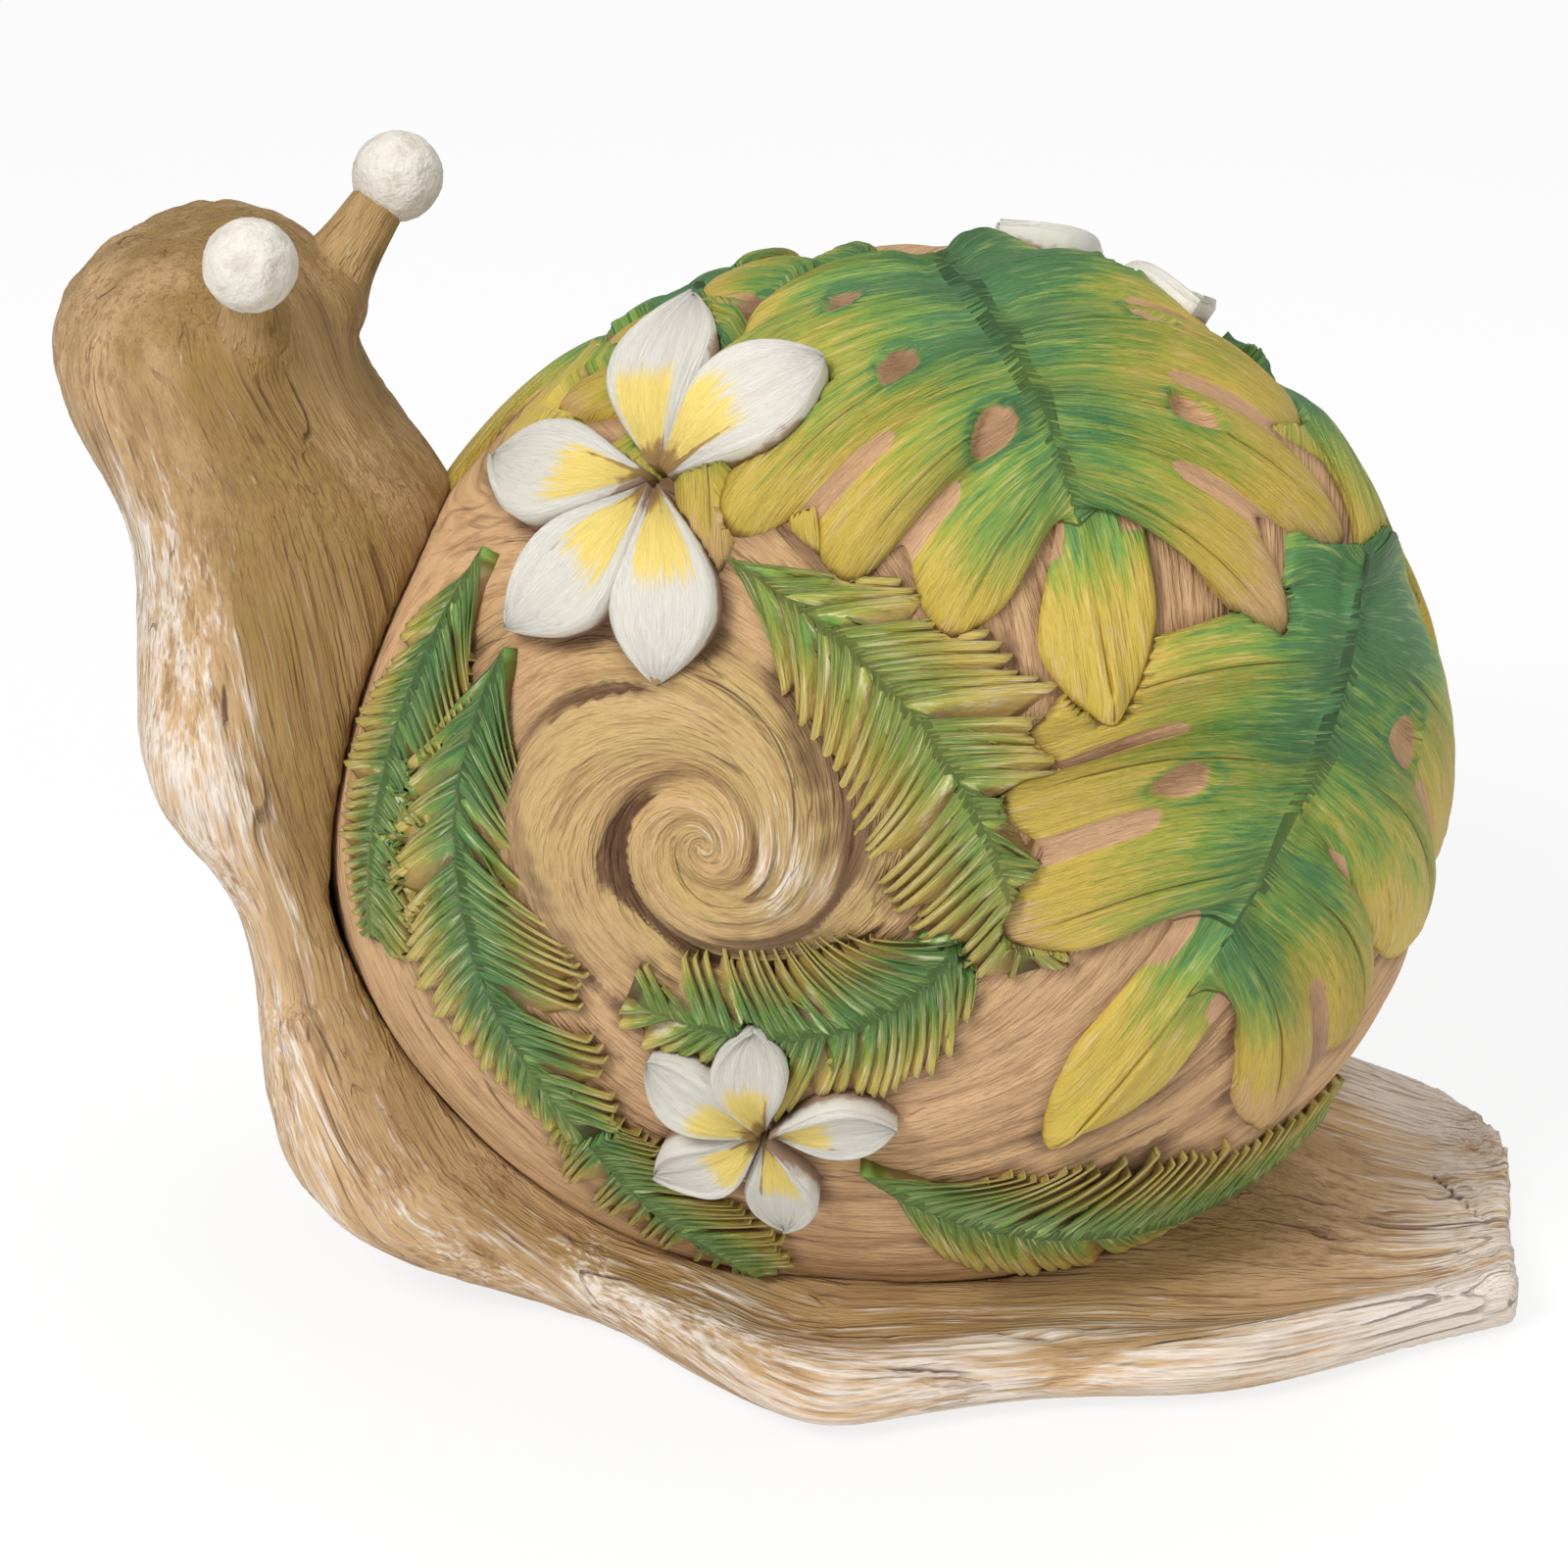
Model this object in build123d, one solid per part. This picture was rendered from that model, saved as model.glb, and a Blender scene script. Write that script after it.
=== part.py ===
"""Snail garden figurine: a cast body and a hollow cast shell with applied leaf and flower pieces.

All lengths are in millimetres. The figurine stands on the plane z = 0. Its head points to -X,
its tail to +X, and the side called near faces -Y.
"""
import math
import os

from build123d import *

# Body: foot, neck and head
BODY_LENGTH = 245.0
TAIL_X = 113.5
HEAD_HEIGHT = 187.0
FOOT_HALF_WIDTH = 68.0
NECK_DEPTH = 54.0
SOLE_SINK = 2.5

# Shell: a wide turned form trimmed by a second, larger one toward the head
SHELL_X = 1.0
SHELL_Z = 90.0
SHELL_RADIUS = 94.5
SHELL_HALF_DEPTH = 64.0
SHELL_LIP = 50.0
TRIM_RADIUS = 111.5
TRIM_SHIFT_X = 20.0
TRIM_SHIFT_Z = 20.0
TRIM_HALF_DEPTH = 84.0
TRIM_LIP = 70.0
SHELL_WALL = 9.0
SHELL_FLOOR = 10.0
SEAT_Z = 10.0
SEAT_GAP = 0.15
POUR_HOLE_RADIUS = 11.0

# Coil raised on each side of the shell
COIL_SHIFT_X = -19.5
COIL_SHIFT_Z = 22.0
COIL_RADIUS = 25.0
COIL_START_ANGLE = -150.0
COIL_TUBE_SHARE = 0.34
COIL_STEP_SHARE = 0.36
COIL_TURNS = 1.5
COIL_SECTIONS_PER_TURN = 12
COIL_SINK_SHARE = 0.45
COIL_BULB_SHIFT = 12.0
COIL_BULB_RADIUS = 19.0
COIL_BULB_RISE = 4.0

# Dowels between shell and body
DOWEL_RADIUS = 4.0
DOWEL_REACH = 6.5
DOWEL_SPREAD = 28.0
DOWEL_GAP = 0.1

# Eye stalks, balls and wire cores
STALK_ROOT_RADIUS = 7.0
STALK_TIP_RADIUS = 4.3
STALK_SINK = 5.0
BALL_RADIUS = 7.3
BALL_SOCKET = 4.0
WIRE_RADIUS = 1.25
WIRE_SINK = 16.0
FIT_GAP = 0.08
# Eye places: shares of the body length from the tail, of the foot's half width and of the head height
NEAR_ROOT_SHARES = (0.8551, -0.1397, 0.9225)
NEAR_BALL_SHARES = (0.8408, -0.2941, 1.0)
FAR_ROOT_SHARES = (0.8184, 0.1544, 0.9198)
FAR_BALL_SHARES = (0.7776, 0.2941, 0.9947)

# Leaves and flowers laid on the shell
BOND_GAP = 0.12
LEAF_THICKNESS = 3.0
FLOWER_THICKNESS = 5.0
PRISM_DEPTH = 42.0
HUG_LOW_SHARE = 0.55
HUG_FRONT_SHARE = 0.6
MONSTERA_WIDTH = 98.0
FROND_WIDTH = 40.0
FLOWER_RADIUS = 31.0

# Rows of the body loft from tail to head: along, rise, pitch in degrees, near and far half width, rim,
# trough out and up, shoulder out and up, top, sway, roundness
BODY_SHARES = [
    (0, 0, 0, 0.368, 0.147, 0.222, 0.72, 0.185, 0.4, 0.167, 0.167, 0, 0),
    (0.027, 0, 0, 0.434, 0.397, 0.241, 0.72, 0.176, 0.4, 0.157, 0.157, 0, 0),
    (0.055, 0, 0, 0.485, 0.485, 0.241, 0.72, 0.157, 0.4, 0.139, 0.139, 0, 0),
    (0.12, 0, 0, 0.618, 0.603, 0.259, 0.72, 0.167, 0.4, 0.167, 0.185, 0, 0),
    (0.194, 0, 0, 0.75, 0.735, 0.259, 0.74, 0.185, 0.42, 0.259, 0.333, 0, 0),
    (0.284, 0, 0, 0.809, 0.809, 0.241, 0.76, 0.204, 0.45, 0.352, 0.426, 0, 0),
    (0.373, 0, 0, 0.882, 0.912, 0.241, 0.76, 0.222, 0.45, 0.407, 0.463, 0, 0),
    (0.455, 0, 0, 0.985, 0.882, 0.259, 0.76, 0.231, 0.46, 0.426, 0.481, 0, 0),
    (0.529, 0, 0, 0.897, 0.794, 0.269, 0.77, 0.241, 0.48, 0.444, 0.5, 0, 0),
    (0.602, 0, 0, 0.691, 0.735, 0.259, 0.8, 0.259, 0.52, 0.463, 0.537, 0, 0),
    (0.684, 0.016, 12, 0.588, 0.676, 0.259, 0.82, 0.296, 0.56, 0.537, 0.63, 0, 0),
    (0.773, 0.059, 30, 0.632, 0.632, 0.259, 0.84, 0.333, 0.6, 0.611, 0.778, 0, 0.1),
    (0.851, 0.144, 50, 0.596, 0.559, 0.241, 0.84, 0.37, 0.66, 0.685, 0.889, 0, 0.15),
    (0.871, 0.251, 66, 0.471, 0.471, 0.241, 0.88, 0.389, 0.72, 0.685, 0.926, 0, 0.2),
    (0.888, 0.374, 76, 0.397, 0.426, 0.241, 0.9, 0.389, 0.74, 0.685, 0.926, 0, 0.25),
    (0.937, 0.492, 82, 0.456, 0.456, 0.241, 0.86, 0.444, 0.74, 0.741, 0.981, 0.015, 0.3),
    (0.945, 0.604, 85, 0.426, 0.426, 0.241, 0.88, 0.444, 0.76, 0.759, 0.981, 0.029, 0.45),
    (0.953, 0.722, 86, 0.368, 0.368, 0.259, 0.92, 0.463, 0.78, 0.759, 0.963, 0.044, 0.75),
    (0.992, 0.818, 84, 0.338, 0.353, 0.296, 0.96, 0.5, 0.78, 0.741, 0.898, 0.059, 1),
    (1, 0.872, 82, 0.331, 0.338, 0.296, 0.96, 0.5, 0.78, 0.704, 0.87, 0.074, 1),
    (0.984, 0.925, 79, 0.265, 0.265, 0.259, 0.9, 0.426, 0.7, 0.593, 0.685, 0.074, 1),
    (0.945, 0.965, 76, 0.132, 0.132, 0.167, 0.9, 0.222, 0.7, 0.278, 0.333, 0.074, 1),
]
OVAL_ANGLE_SHARES = (-62, -35, -12, 12, 38, 64)
FOOT_OUT_SHARES = (0.55, 0.9, 1.0, 0.94)
FOOT_UP_SHARES = (0.0, 0.1, 0.55, 1.0)

# Split leaf outlines, left side then right side: share of the rib where the lobe or cut grows,
# share of the length and share of the half width, a lobe and a cut by turns; then the holes:
# share of the length, share of the half width with its side, and size
PLAIN_LOBES = (
    (
        (0.02, -0.03, 0.45), (0.05, 0.10, 0.55), (0.12, 0.26, 0.92), (0.24, 0.33, 0.60),
        (0.34, 0.56, 0.98), (0.44, 0.52, 0.42), (0.52, 0.78, 0.74), (0.66, 0.68, 0.14),
    ),
    (
        (0.02, -0.03, 0.45), (0.05, 0.10, 0.55), (0.12, 0.28, 0.94), (0.24, 0.36, 0.58),
        (0.36, 0.60, 0.96), (0.46, 0.56, 0.36), (0.56, 0.84, 0.66), (0.70, 0.72, 0.16),
    ),
    ((0.30, -0.34, 1.0), (0.22, 0.36, 0.9), (0.50, 0.22, 0.8), (0.46, -0.24, 0.8)),
)
TOP_LOBES = (
    (
        (0.02, -0.05, 0.50), (0.06, 0.04, 0.72), (0.12, 0.16, 1.04), (0.20, 0.26, 0.86),
        (0.26, 0.46, 0.98), (0.34, 0.47, 0.74), (0.40, 0.63, 0.72), (0.46, 0.60, 0.52),
        (0.54, 0.80, 0.44), (0.66, 0.64, 0.06),
    ),
    (
        (0.02, -0.05, 0.50), (0.06, 0.05, 0.70), (0.10, 0.20, 1.02), (0.18, 0.30, 0.84),
        (0.24, 0.47, 1.06), (0.32, 0.52, 0.82), (0.38, 0.76, 0.98), (0.48, 0.70, 0.62),
        (0.56, 0.93, 0.62), (0.66, 0.62, 0.24),
    ),
    (
        (0.25, -0.35, 1.0), (0.44, -0.17, 1.1), (0.49, 0.49, 1.0), (0.05, -0.36, 0.9),
        (0.26, 0.51, 0.9), (0.10, 0.62, 0.7),
    ),
)
REAR_LOBES = (
    (
        (0.02, -0.03, 0.24), (0.05, 0.10, 0.34), (0.14, 0.43, 0.92), (0.24, 0.47, 0.78),
        (0.30, 0.55, 0.90), (0.38, 0.60, 0.70), (0.46, 0.75, 0.64), (0.58, 0.61, 0.19),
    ),
    (
        (0.02, -0.03, 0.34), (0.06, 0.06, 0.62), (0.12, 0.36, 1.06), (0.20, 0.42, 0.88),
        (0.28, 0.52, 1.04), (0.38, 0.47, 0.34), (0.46, 0.68, 0.86), (0.54, 0.73, 0.74),
        (0.58, 0.88, 0.76), (0.70, 0.69, 0.20),
    ),
    ((0.41, -0.43, 1.1), (0.23, 0.38, 1.1)),
)

# Places on the shell: clock angle in degrees about the shell axis and share of the shell radius,
# for the base, the middle and the tip, then the share of the full width and, for a split leaf, its lobes
MONSTERA_SHARES = {
    "monstera_near_top": (83, 1.0, 68, 0.87, 46, 0.62, 1.0, TOP_LOBES),
    "monstera_near_rear": (34, 0.98, 12, 0.71, -42, 0.50, 1.0, REAR_LOBES),
    "monstera_near_front": (89, 0.998, 104, 0.94, 124, 0.83, 0.75, PLAIN_LOBES),
    "monstera_far_rear": (50, 0.95, 22, 0.82, -20, 0.54, 0.9, PLAIN_LOBES),
    "monstera_far_front": (108, 0.94, 130, 0.80, 162, 0.54, 0.8, PLAIN_LOBES),
}
FROND_SHARES = {
    "frond_near_upper": (105, 0.69, 68, 0.44, 13, 0.31, 1.0),
    "frond_near_inner": (30, 0.275, -78, 0.076, -166, 0.305, 0.9),
    "frond_near_front": (139, 0.72, 166, 0.645, -141, 0.58, 0.9),
    "frond_near_neck": (137, 0.855, 158, 0.80, -173, 0.805, 0.75),
    "frond_near_rear": (-84, 0.39, -54, 0.775, -34, 0.97, 1.0),
    "frond_near_low": (-150, 0.555, -124, 0.63, -102, 0.76, 0.8),
    "frond_far_upper": (96, 0.62, 62, 0.42, 10, 0.31, 1.0),
    "frond_far_inner": (10, 0.26, -80, 0.09, -164, 0.33, 0.9),
    "frond_far_front": (-178, 0.68, -160, 0.68, -139, 0.67, 0.9),
    "frond_far_rear": (-80, 0.42, -52, 0.76, -32, 0.94, 1.0),
    "frond_far_low": (-144, 0.62, -122, 0.67, -102, 0.77, 0.8),
}
# Flowers: clock angle, share of the shell radius, share of the full size, then the turn of each petal
FLOWER_SHARES = {
    "flower_near_large": (112, 0.819, 1.0, -160, -101, -28, 26, 76),
    "flower_near_small": (-110, 0.34, 0.7, 163, 112, 32, -65, -125),
    "flower_far_large": (64, 0.80, 0.9, 40, 112, 184, 256, 328),
    "flower_far_small": (-106, 0.42, 0.7, 30, 102, 174, 246, 318),
}
# Outlines of the fronds, the petals, the lobes and the holes
FROND_LEAFLETS = 7
FROND_LEAN_SHARE = 0.10
FROND_NOTCH_SHARE = 0.58
FROND_PROFILE_SHARES = (0.5, 0.82, 0.98, 1.0, 0.9, 0.7, 0.44)
PETAL_LONG_SHARES = (0.06, 0.32, 0.62, 0.86, 1.0)
PETAL_WIDE_SHARES = (0.05, 0.18, 0.29, 0.26, 0.02)
LOBE_BACK_SHARE = 0.38
LOBE_ROUND_SHARE = 0.12
TIP_LOBE_SHARES = (0.87, 0.19, 1.03)
HOLE_LONG = 4.6
HOLE_WIDE = 2.7
HOLE_TURN = 51.5

NODES = {}


def main_solid(shape):
    """Returns the largest solid of a shape."""
    return max(shape.solids(), key=lambda solid: solid.volume)


def turned(centre_x, centre_z, radius, half_depth, lip):
    """Returns a round form about an axis along Y, with a rounded lip and domed sides."""
    ring = radius - lip
    dome = (ring ** 2 + half_depth ** 2 - lip ** 2) / (2 * (half_depth - lip))
    drop = half_depth - dome
    span = dome - lip
    join_r = ring + lip * ring / span
    join_y = -lip * drop / span
    half_angle = math.atan2(join_r, join_y - drop) / 2
    mid_r = dome * math.sin(half_angle)
    mid_y = drop + dome * math.cos(half_angle)
    outline = [
        ThreePointArc((0, -half_depth), (mid_r, -mid_y), (join_r, -join_y)),
        ThreePointArc((join_r, -join_y), (radius, 0), (join_r, join_y)),
        ThreePointArc((join_r, join_y), (mid_r, mid_y), (0, half_depth)),
        Line((0, half_depth), (0, -half_depth)),
    ]
    solid = revolve(Face(Wire(outline)), axis=Axis.Y, revolution_arc=360)
    return Pos(centre_x, 0, centre_z) * solid


def shell_form(grow):
    """Returns the shell's outer form grown by an amount."""
    round_form = turned(
        SHELL_X, SHELL_Z, SHELL_RADIUS + grow, SHELL_HALF_DEPTH + grow, SHELL_LIP + grow
    )
    trim_form = turned(
        SHELL_X + TRIM_SHIFT_X,
        SHELL_Z - TRIM_SHIFT_Z,
        TRIM_RADIUS + grow,
        TRIM_HALF_DEPTH + grow,
        TRIM_LIP + grow,
    )
    return main_solid(round_form & trim_form)


def above(height):
    """Returns a large block whose bottom face lies at a height."""
    size = BODY_LENGTH * 2
    return Pos(0, 0, height + size / 2) * Box(size, size, size)


def side_depth(x, z):
    """Returns the half depth of the shell's round form at a place on its side."""
    out = math.hypot(x - SHELL_X, z - SHELL_Z)
    ring = SHELL_RADIUS - SHELL_LIP
    dome = (ring ** 2 + SHELL_HALF_DEPTH ** 2 - SHELL_LIP ** 2) / (2 * (SHELL_HALF_DEPTH - SHELL_LIP))
    drop = SHELL_HALF_DEPTH - dome
    if out < ring + SHELL_LIP * ring / (dome - SHELL_LIP):
        return drop + math.sqrt(dome ** 2 - out ** 2)
    return math.sqrt(max(SHELL_LIP ** 2 - (out - ring) ** 2, 0.0))


def place(clock, reach, side):
    """Returns the point and outward normal of a place on the shell."""
    angle = math.radians(clock)
    out = min(reach, 1.0) * SHELL_RADIUS
    x = SHELL_X + out * math.cos(angle)
    z = SHELL_Z + out * math.sin(angle)
    y = side_depth(x, z)
    ring = SHELL_RADIUS - SHELL_LIP
    dome = (ring ** 2 + SHELL_HALF_DEPTH ** 2 - SHELL_LIP ** 2) / (2 * (SHELL_HALF_DEPTH - SHELL_LIP))
    if out < ring + SHELL_LIP * ring / (dome - SHELL_LIP):
        slope = Vector(out * math.cos(angle), 0, out * math.sin(angle))
        slope += Vector(0, side * (y - SHELL_HALF_DEPTH + dome), 0)
    else:
        slope = Vector((out - ring) * math.cos(angle), side * y, (out - ring) * math.sin(angle))
    return Vector(x, side * y, z), slope.normalized()


def coil(side, grow):
    """Returns the tapering tube of a coil on one side of the shell, with the bulb inside its last turn."""
    sections = []
    steps = int(COIL_TURNS * COIL_SECTIONS_PER_TURN)
    for step in range(steps + 1):
        turn = step / COIL_SECTIONS_PER_TURN
        reach = COIL_RADIUS * COIL_STEP_SHARE ** turn
        tube = reach * COIL_TUBE_SHARE + grow
        angle = math.radians(COIL_START_ANGLE - 360 * turn)
        x = SHELL_X + COIL_SHIFT_X + reach * math.cos(angle)
        z = SHELL_Z + COIL_SHIFT_Z + reach * math.sin(angle)
        y = side * (side_depth(x, z) - tube * COIL_SINK_SHARE)
        ahead = Vector(math.sin(angle), 0, -math.cos(angle))
        plane = Plane(origin=(x, y, z), z_dir=ahead, x_dir=(0, 1, 0))
        sections.append(plane * Circle(tube))
    bulb_x = SHELL_X + COIL_SHIFT_X + COIL_BULB_SHIFT
    bulb_z = SHELL_Z + COIL_SHIFT_Z
    bulb_y = side * (side_depth(bulb_x, bulb_z) + COIL_BULB_RISE - COIL_BULB_RADIUS)
    return loft(sections) + Pos(bulb_x, bulb_y, bulb_z) * Sphere(COIL_BULB_RADIUS + grow)


def body_section(row):
    """Returns one closed section of the body loft."""
    along, rise, pitch, near, far, rim, t_out, t_up, s_out, s_up, top, sway, roundness = row
    tilt = math.radians(pitch)
    start = Vector(TAIL_X - along * BODY_LENGTH, sway * FOOT_HALF_WIDTH, rise * HEAD_HEIGHT)
    up = Vector(math.sin(tilt), 0, math.cos(tilt))
    across = Vector(0, 1, 0)
    height = top * NECK_DEPTH

    def half(side, share):
        width = share * FOOT_HALF_WIDTH
        outs = list(FOOT_OUT_SHARES) + [t_out, s_out]
        ups = [rim * value for value in FOOT_UP_SHARES] + [t_up, s_up]
        points = []
        for out, lift, oval in zip(outs, ups, OVAL_ANGLE_SHARES):
            turn = math.radians(oval)
            flat_out = out * width
            flat_up = lift * NECK_DEPTH
            if lift == 0.0:
                flat_up -= SOLE_SINK
            round_out = math.cos(turn) * width
            round_up = (1 + math.sin(turn)) * height / 2
            reach = flat_out + (round_out - flat_out) * roundness
            lifted = flat_up + (round_up - flat_up) * roundness
            points.append(start + across * (side * reach) + up * lifted)
        return points

    sole = start - up * (SOLE_SINK * (1 - roundness))
    crest = start + up * height
    points = [sole] + half(1, far) + [crest] + half(-1, near)[::-1]
    return Face(Wire(Spline(*points, periodic=True)))


def on_body(shares):
    """Returns the place of shares of the body's sizes."""
    along, across, rise = shares
    return (TAIL_X - along * BODY_LENGTH, across * FOOT_HALF_WIDTH, rise * HEAD_HEIGHT)


def axis_plane(root, tip):
    """Returns a plane at the root whose normal points to the tip, and the distance between them."""
    line = Vector(*tip) - Vector(*root)
    return Plane(origin=root, z_dir=line.normalized()), line.length


def rod(plane, start, end, radius):
    """Returns a cylinder along a plane's normal between two heights."""
    return plane * Pos(0, 0, (start + end) / 2) * Cylinder(radius, end - start)


def cone(plane, start, end, low, high):
    """Returns a cone along a plane's normal between two heights."""
    return plane * Pos(0, 0, (start + end) / 2) * Cone(low, high, end - start)


def leaf_plane(row, side):
    """Returns the plane of a leaf, its length and the sideways bow of its middle."""
    base, _ = place(row[0], row[1], side)
    middle, normal = place(row[2], row[3], side)
    tip, _ = place(row[4], row[5], side)
    chord = tip - base
    flat = (chord - normal * chord.dot(normal))
    length = flat.length
    plane = Plane(origin=middle, z_dir=normal, x_dir=flat.normalized())
    start = plane.to_local_coords(base)
    end = plane.to_local_coords(tip)
    bow = -(start.Y + end.Y) / 2
    return plane, length, start.X, start.Y, bow


def bent(plane_data):
    """Returns a function that takes along and across to a flat point of a bowed leaf."""
    _, length, start_x, start_y, bow = plane_data

    def point(along, across):
        share = along / length
        lift = 4 * bow * share * (1 - share)
        slope = 4 * bow * (1 - 2 * share) / length
        size = math.hypot(1, slope)
        return (start_x + along - across * slope / size, start_y + lift + across / size)

    return point


def laid(plane, outlines, thickness, holes=()):
    """Returns the deep prism of flat outlines and the layer piece cut from it, with its holes."""
    prism = None
    for outline in outlines:
        face = plane * Face(Wire(outline))
        block = extrude(face, amount=PRISM_DEPTH, dir=plane.z_dir, both=True)
        prism = block if prism is None else prism + block
    piece = (prism & LAYERS[thickness]) - LAYERS[0.0]
    for hole in holes:
        piece = piece - extrude(plane * hole, amount=PRISM_DEPTH, dir=plane.z_dir, both=True)
    return prism, main_solid(piece)


def full_lobes(points, tips):
    """Returns an outline with a point pushed outwards on each side of every tip, so that lobes are full."""
    ring = []
    for index, (x, y) in enumerate(points):
        after = (index + 1) % len(points)
        run_x = points[after][0] - x
        run_y = points[after][1] - y
        ring.append((x, y))
        if index in tips or after in tips:
            share = LOBE_BACK_SHARE if index in tips else 1 - LOBE_BACK_SHARE
            ring.append((
                x + run_x * share + run_y * LOBE_ROUND_SHARE,
                y + run_y * share - run_x * LOBE_ROUND_SHARE,
            ))
    return ring


def monstera(row, side):
    """Returns a split leaf with full lobes and holes."""
    data = leaf_plane(row, side)
    length = data[1]
    half_width = row[6] * MONSTERA_WIDTH / 2
    left_rows, right_rows, hole_rows = row[7]
    point = bent(data)

    def flat(share):
        return point(share[0] * length, share[1] * half_width)

    neck, spread, end = TIP_LOBE_SHARES
    left = [(along, -across) for _, along, across in left_rows]
    right = [(along, across) for _, along, across in right_rows[::-1]]
    shares = [(0, 0)] + left + [(neck, -spread), (end, 0), (neck, spread)] + right
    last = len(shares) - 1
    tips = set(range(1, len(left) + 1, 2)) | set(range(last, last - len(right), -2))
    ring = full_lobes([flat(share) for share in shares], tips)
    edges = []
    for start, following in zip(ring, ring[1:] + ring[:1]):
        edges.append(Line(start, following))
    holes = []
    for along, across, size in hole_rows:
        turn = math.copysign(HOLE_TURN, across)
        oval = Ellipse(HOLE_LONG * size, HOLE_WIDE * size)
        holes.append(Pos(*flat((along, across))) * Rot(0, 0, turn) * oval)
    return laid(data[0], [edges], LEAF_THICKNESS, holes)


def frond(row, side):
    """Returns a feather leaf with a row of leaflets on each side of its rib."""
    data = leaf_plane(row, side)
    length = data[1]
    half_width = row[6] * FROND_WIDTH / 2
    point = bent(data)
    right = []
    left = []
    for index in range(FROND_LEAFLETS):
        wide = FROND_PROFILE_SHARES[index] * half_width
        along = (index + 0.5) / FROND_LEAFLETS * length
        notch = (index + 1) / FROND_LEAFLETS * length
        lean = FROND_LEAN_SHARE * length
        right.append(point(min(along + lean, length), -wide))
        left.append(point(min(along + lean, length), wide))
        if index < FROND_LEAFLETS - 1:
            right.append(point(notch, -wide * FROND_NOTCH_SHARE))
            left.append(point(notch, wide * FROND_NOTCH_SHARE))
    ring = [point(0, 0)] + right + [point(length, 0)] + left[::-1]
    edges = []
    for start, end in zip(ring, ring[1:] + ring[:1]):
        edges.append(Line(start, end))
    return laid(data[0], [edges], LEAF_THICKNESS)


def flower(row, side):
    """Returns a flower of five joined petals."""
    clock, reach, size = row[:3]
    centre, normal = place(clock, reach, side)
    plane = Plane(origin=centre, z_dir=normal, x_dir=normal.cross(Vector(0, 1, 0)).normalized())
    radius = size * FLOWER_RADIUS
    outlines = []
    for turn in row[3:]:
        angle = math.radians(turn)
        upper = []
        lower = []
        for long_share, wide_share in zip(PETAL_LONG_SHARES, PETAL_WIDE_SHARES):
            x = Vector(math.cos(angle), math.sin(angle)) * (long_share * radius)
            y = Vector(-math.sin(angle), math.cos(angle)) * (wide_share * radius)
            upper.append(x + y)
            lower.append(x - y)
        outlines.append([
            Spline(*lower),
            Line(lower[-1], upper[-1]),
            Spline(*upper[::-1]),
            Line(upper[0], lower[0]),
        ])
    outlines.append([CenterArc((0, 0), radius * PETAL_WIDE_SHARES[1], 0, 360)])
    return laid(plane, outlines, FLOWER_THICKNESS)


def reaches(first, second):
    """Returns whether the boxes of two shapes meet."""
    a = first.bounding_box()
    b = second.bounding_box()
    apart_x = a.max.X < b.min.X or b.max.X < a.min.X
    apart_y = a.max.Y < b.min.Y or b.max.Y < a.min.Y
    apart_z = a.max.Z < b.min.Z or b.max.Z < a.min.Z
    return not (apart_x or apart_y or apart_z)


def near_body(piece):
    """Returns whether a piece lies low or far forward enough to meet the body."""
    box = piece.bounding_box()
    low = SHELL_Z - SHELL_RADIUS * HUG_LOW_SHARE
    front = SHELL_X - SHELL_RADIUS * HUG_FRONT_SHARE
    return box.min.Z < low or box.min.X < front


LAYERS = {
    0.0: shell_form(BOND_GAP),
    LEAF_THICKNESS: shell_form(BOND_GAP + LEAF_THICKNESS),
    FLOWER_THICKNESS: shell_form(BOND_GAP + FLOWER_THICKNESS),
}

# Body blank, then the saddle for the shell
body = main_solid(loft([body_section(row) for row in BODY_SHARES]) & above(0.0))
saddle = shell_form(SEAT_GAP) & above(SEAT_Z)
body = main_solid(body - saddle)

# Shell with its coils, cavity and pour hole
shell = shell_form(0.0) & above(SEAT_Z)
for side in (-1, 1):
    shell = shell + coil(side, 0.0)
cavity = shell_form(-SHELL_WALL) & above(SEAT_Z + SHELL_FLOOR)
shell = shell - cavity
seat_plane = Plane(origin=(SHELL_X, 0, SEAT_Z))
shell = shell - rod(seat_plane, -SHELL_FLOOR, SHELL_FLOOR * 2, POUR_HOLE_RADIUS)

# Dowels
for name, sign in (("shell_dowel_front", -1), ("shell_dowel_rear", 1)):
    plane = Plane(origin=(SHELL_X + sign * DOWEL_SPREAD, 0, SEAT_Z))
    bore = rod(plane, -DOWEL_REACH - DOWEL_GAP, DOWEL_REACH + DOWEL_GAP, DOWEL_RADIUS + DOWEL_GAP)
    NODES[name] = rod(plane, -DOWEL_REACH, DOWEL_REACH, DOWEL_RADIUS)
    body = body - bore
    shell = shell - bore

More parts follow.
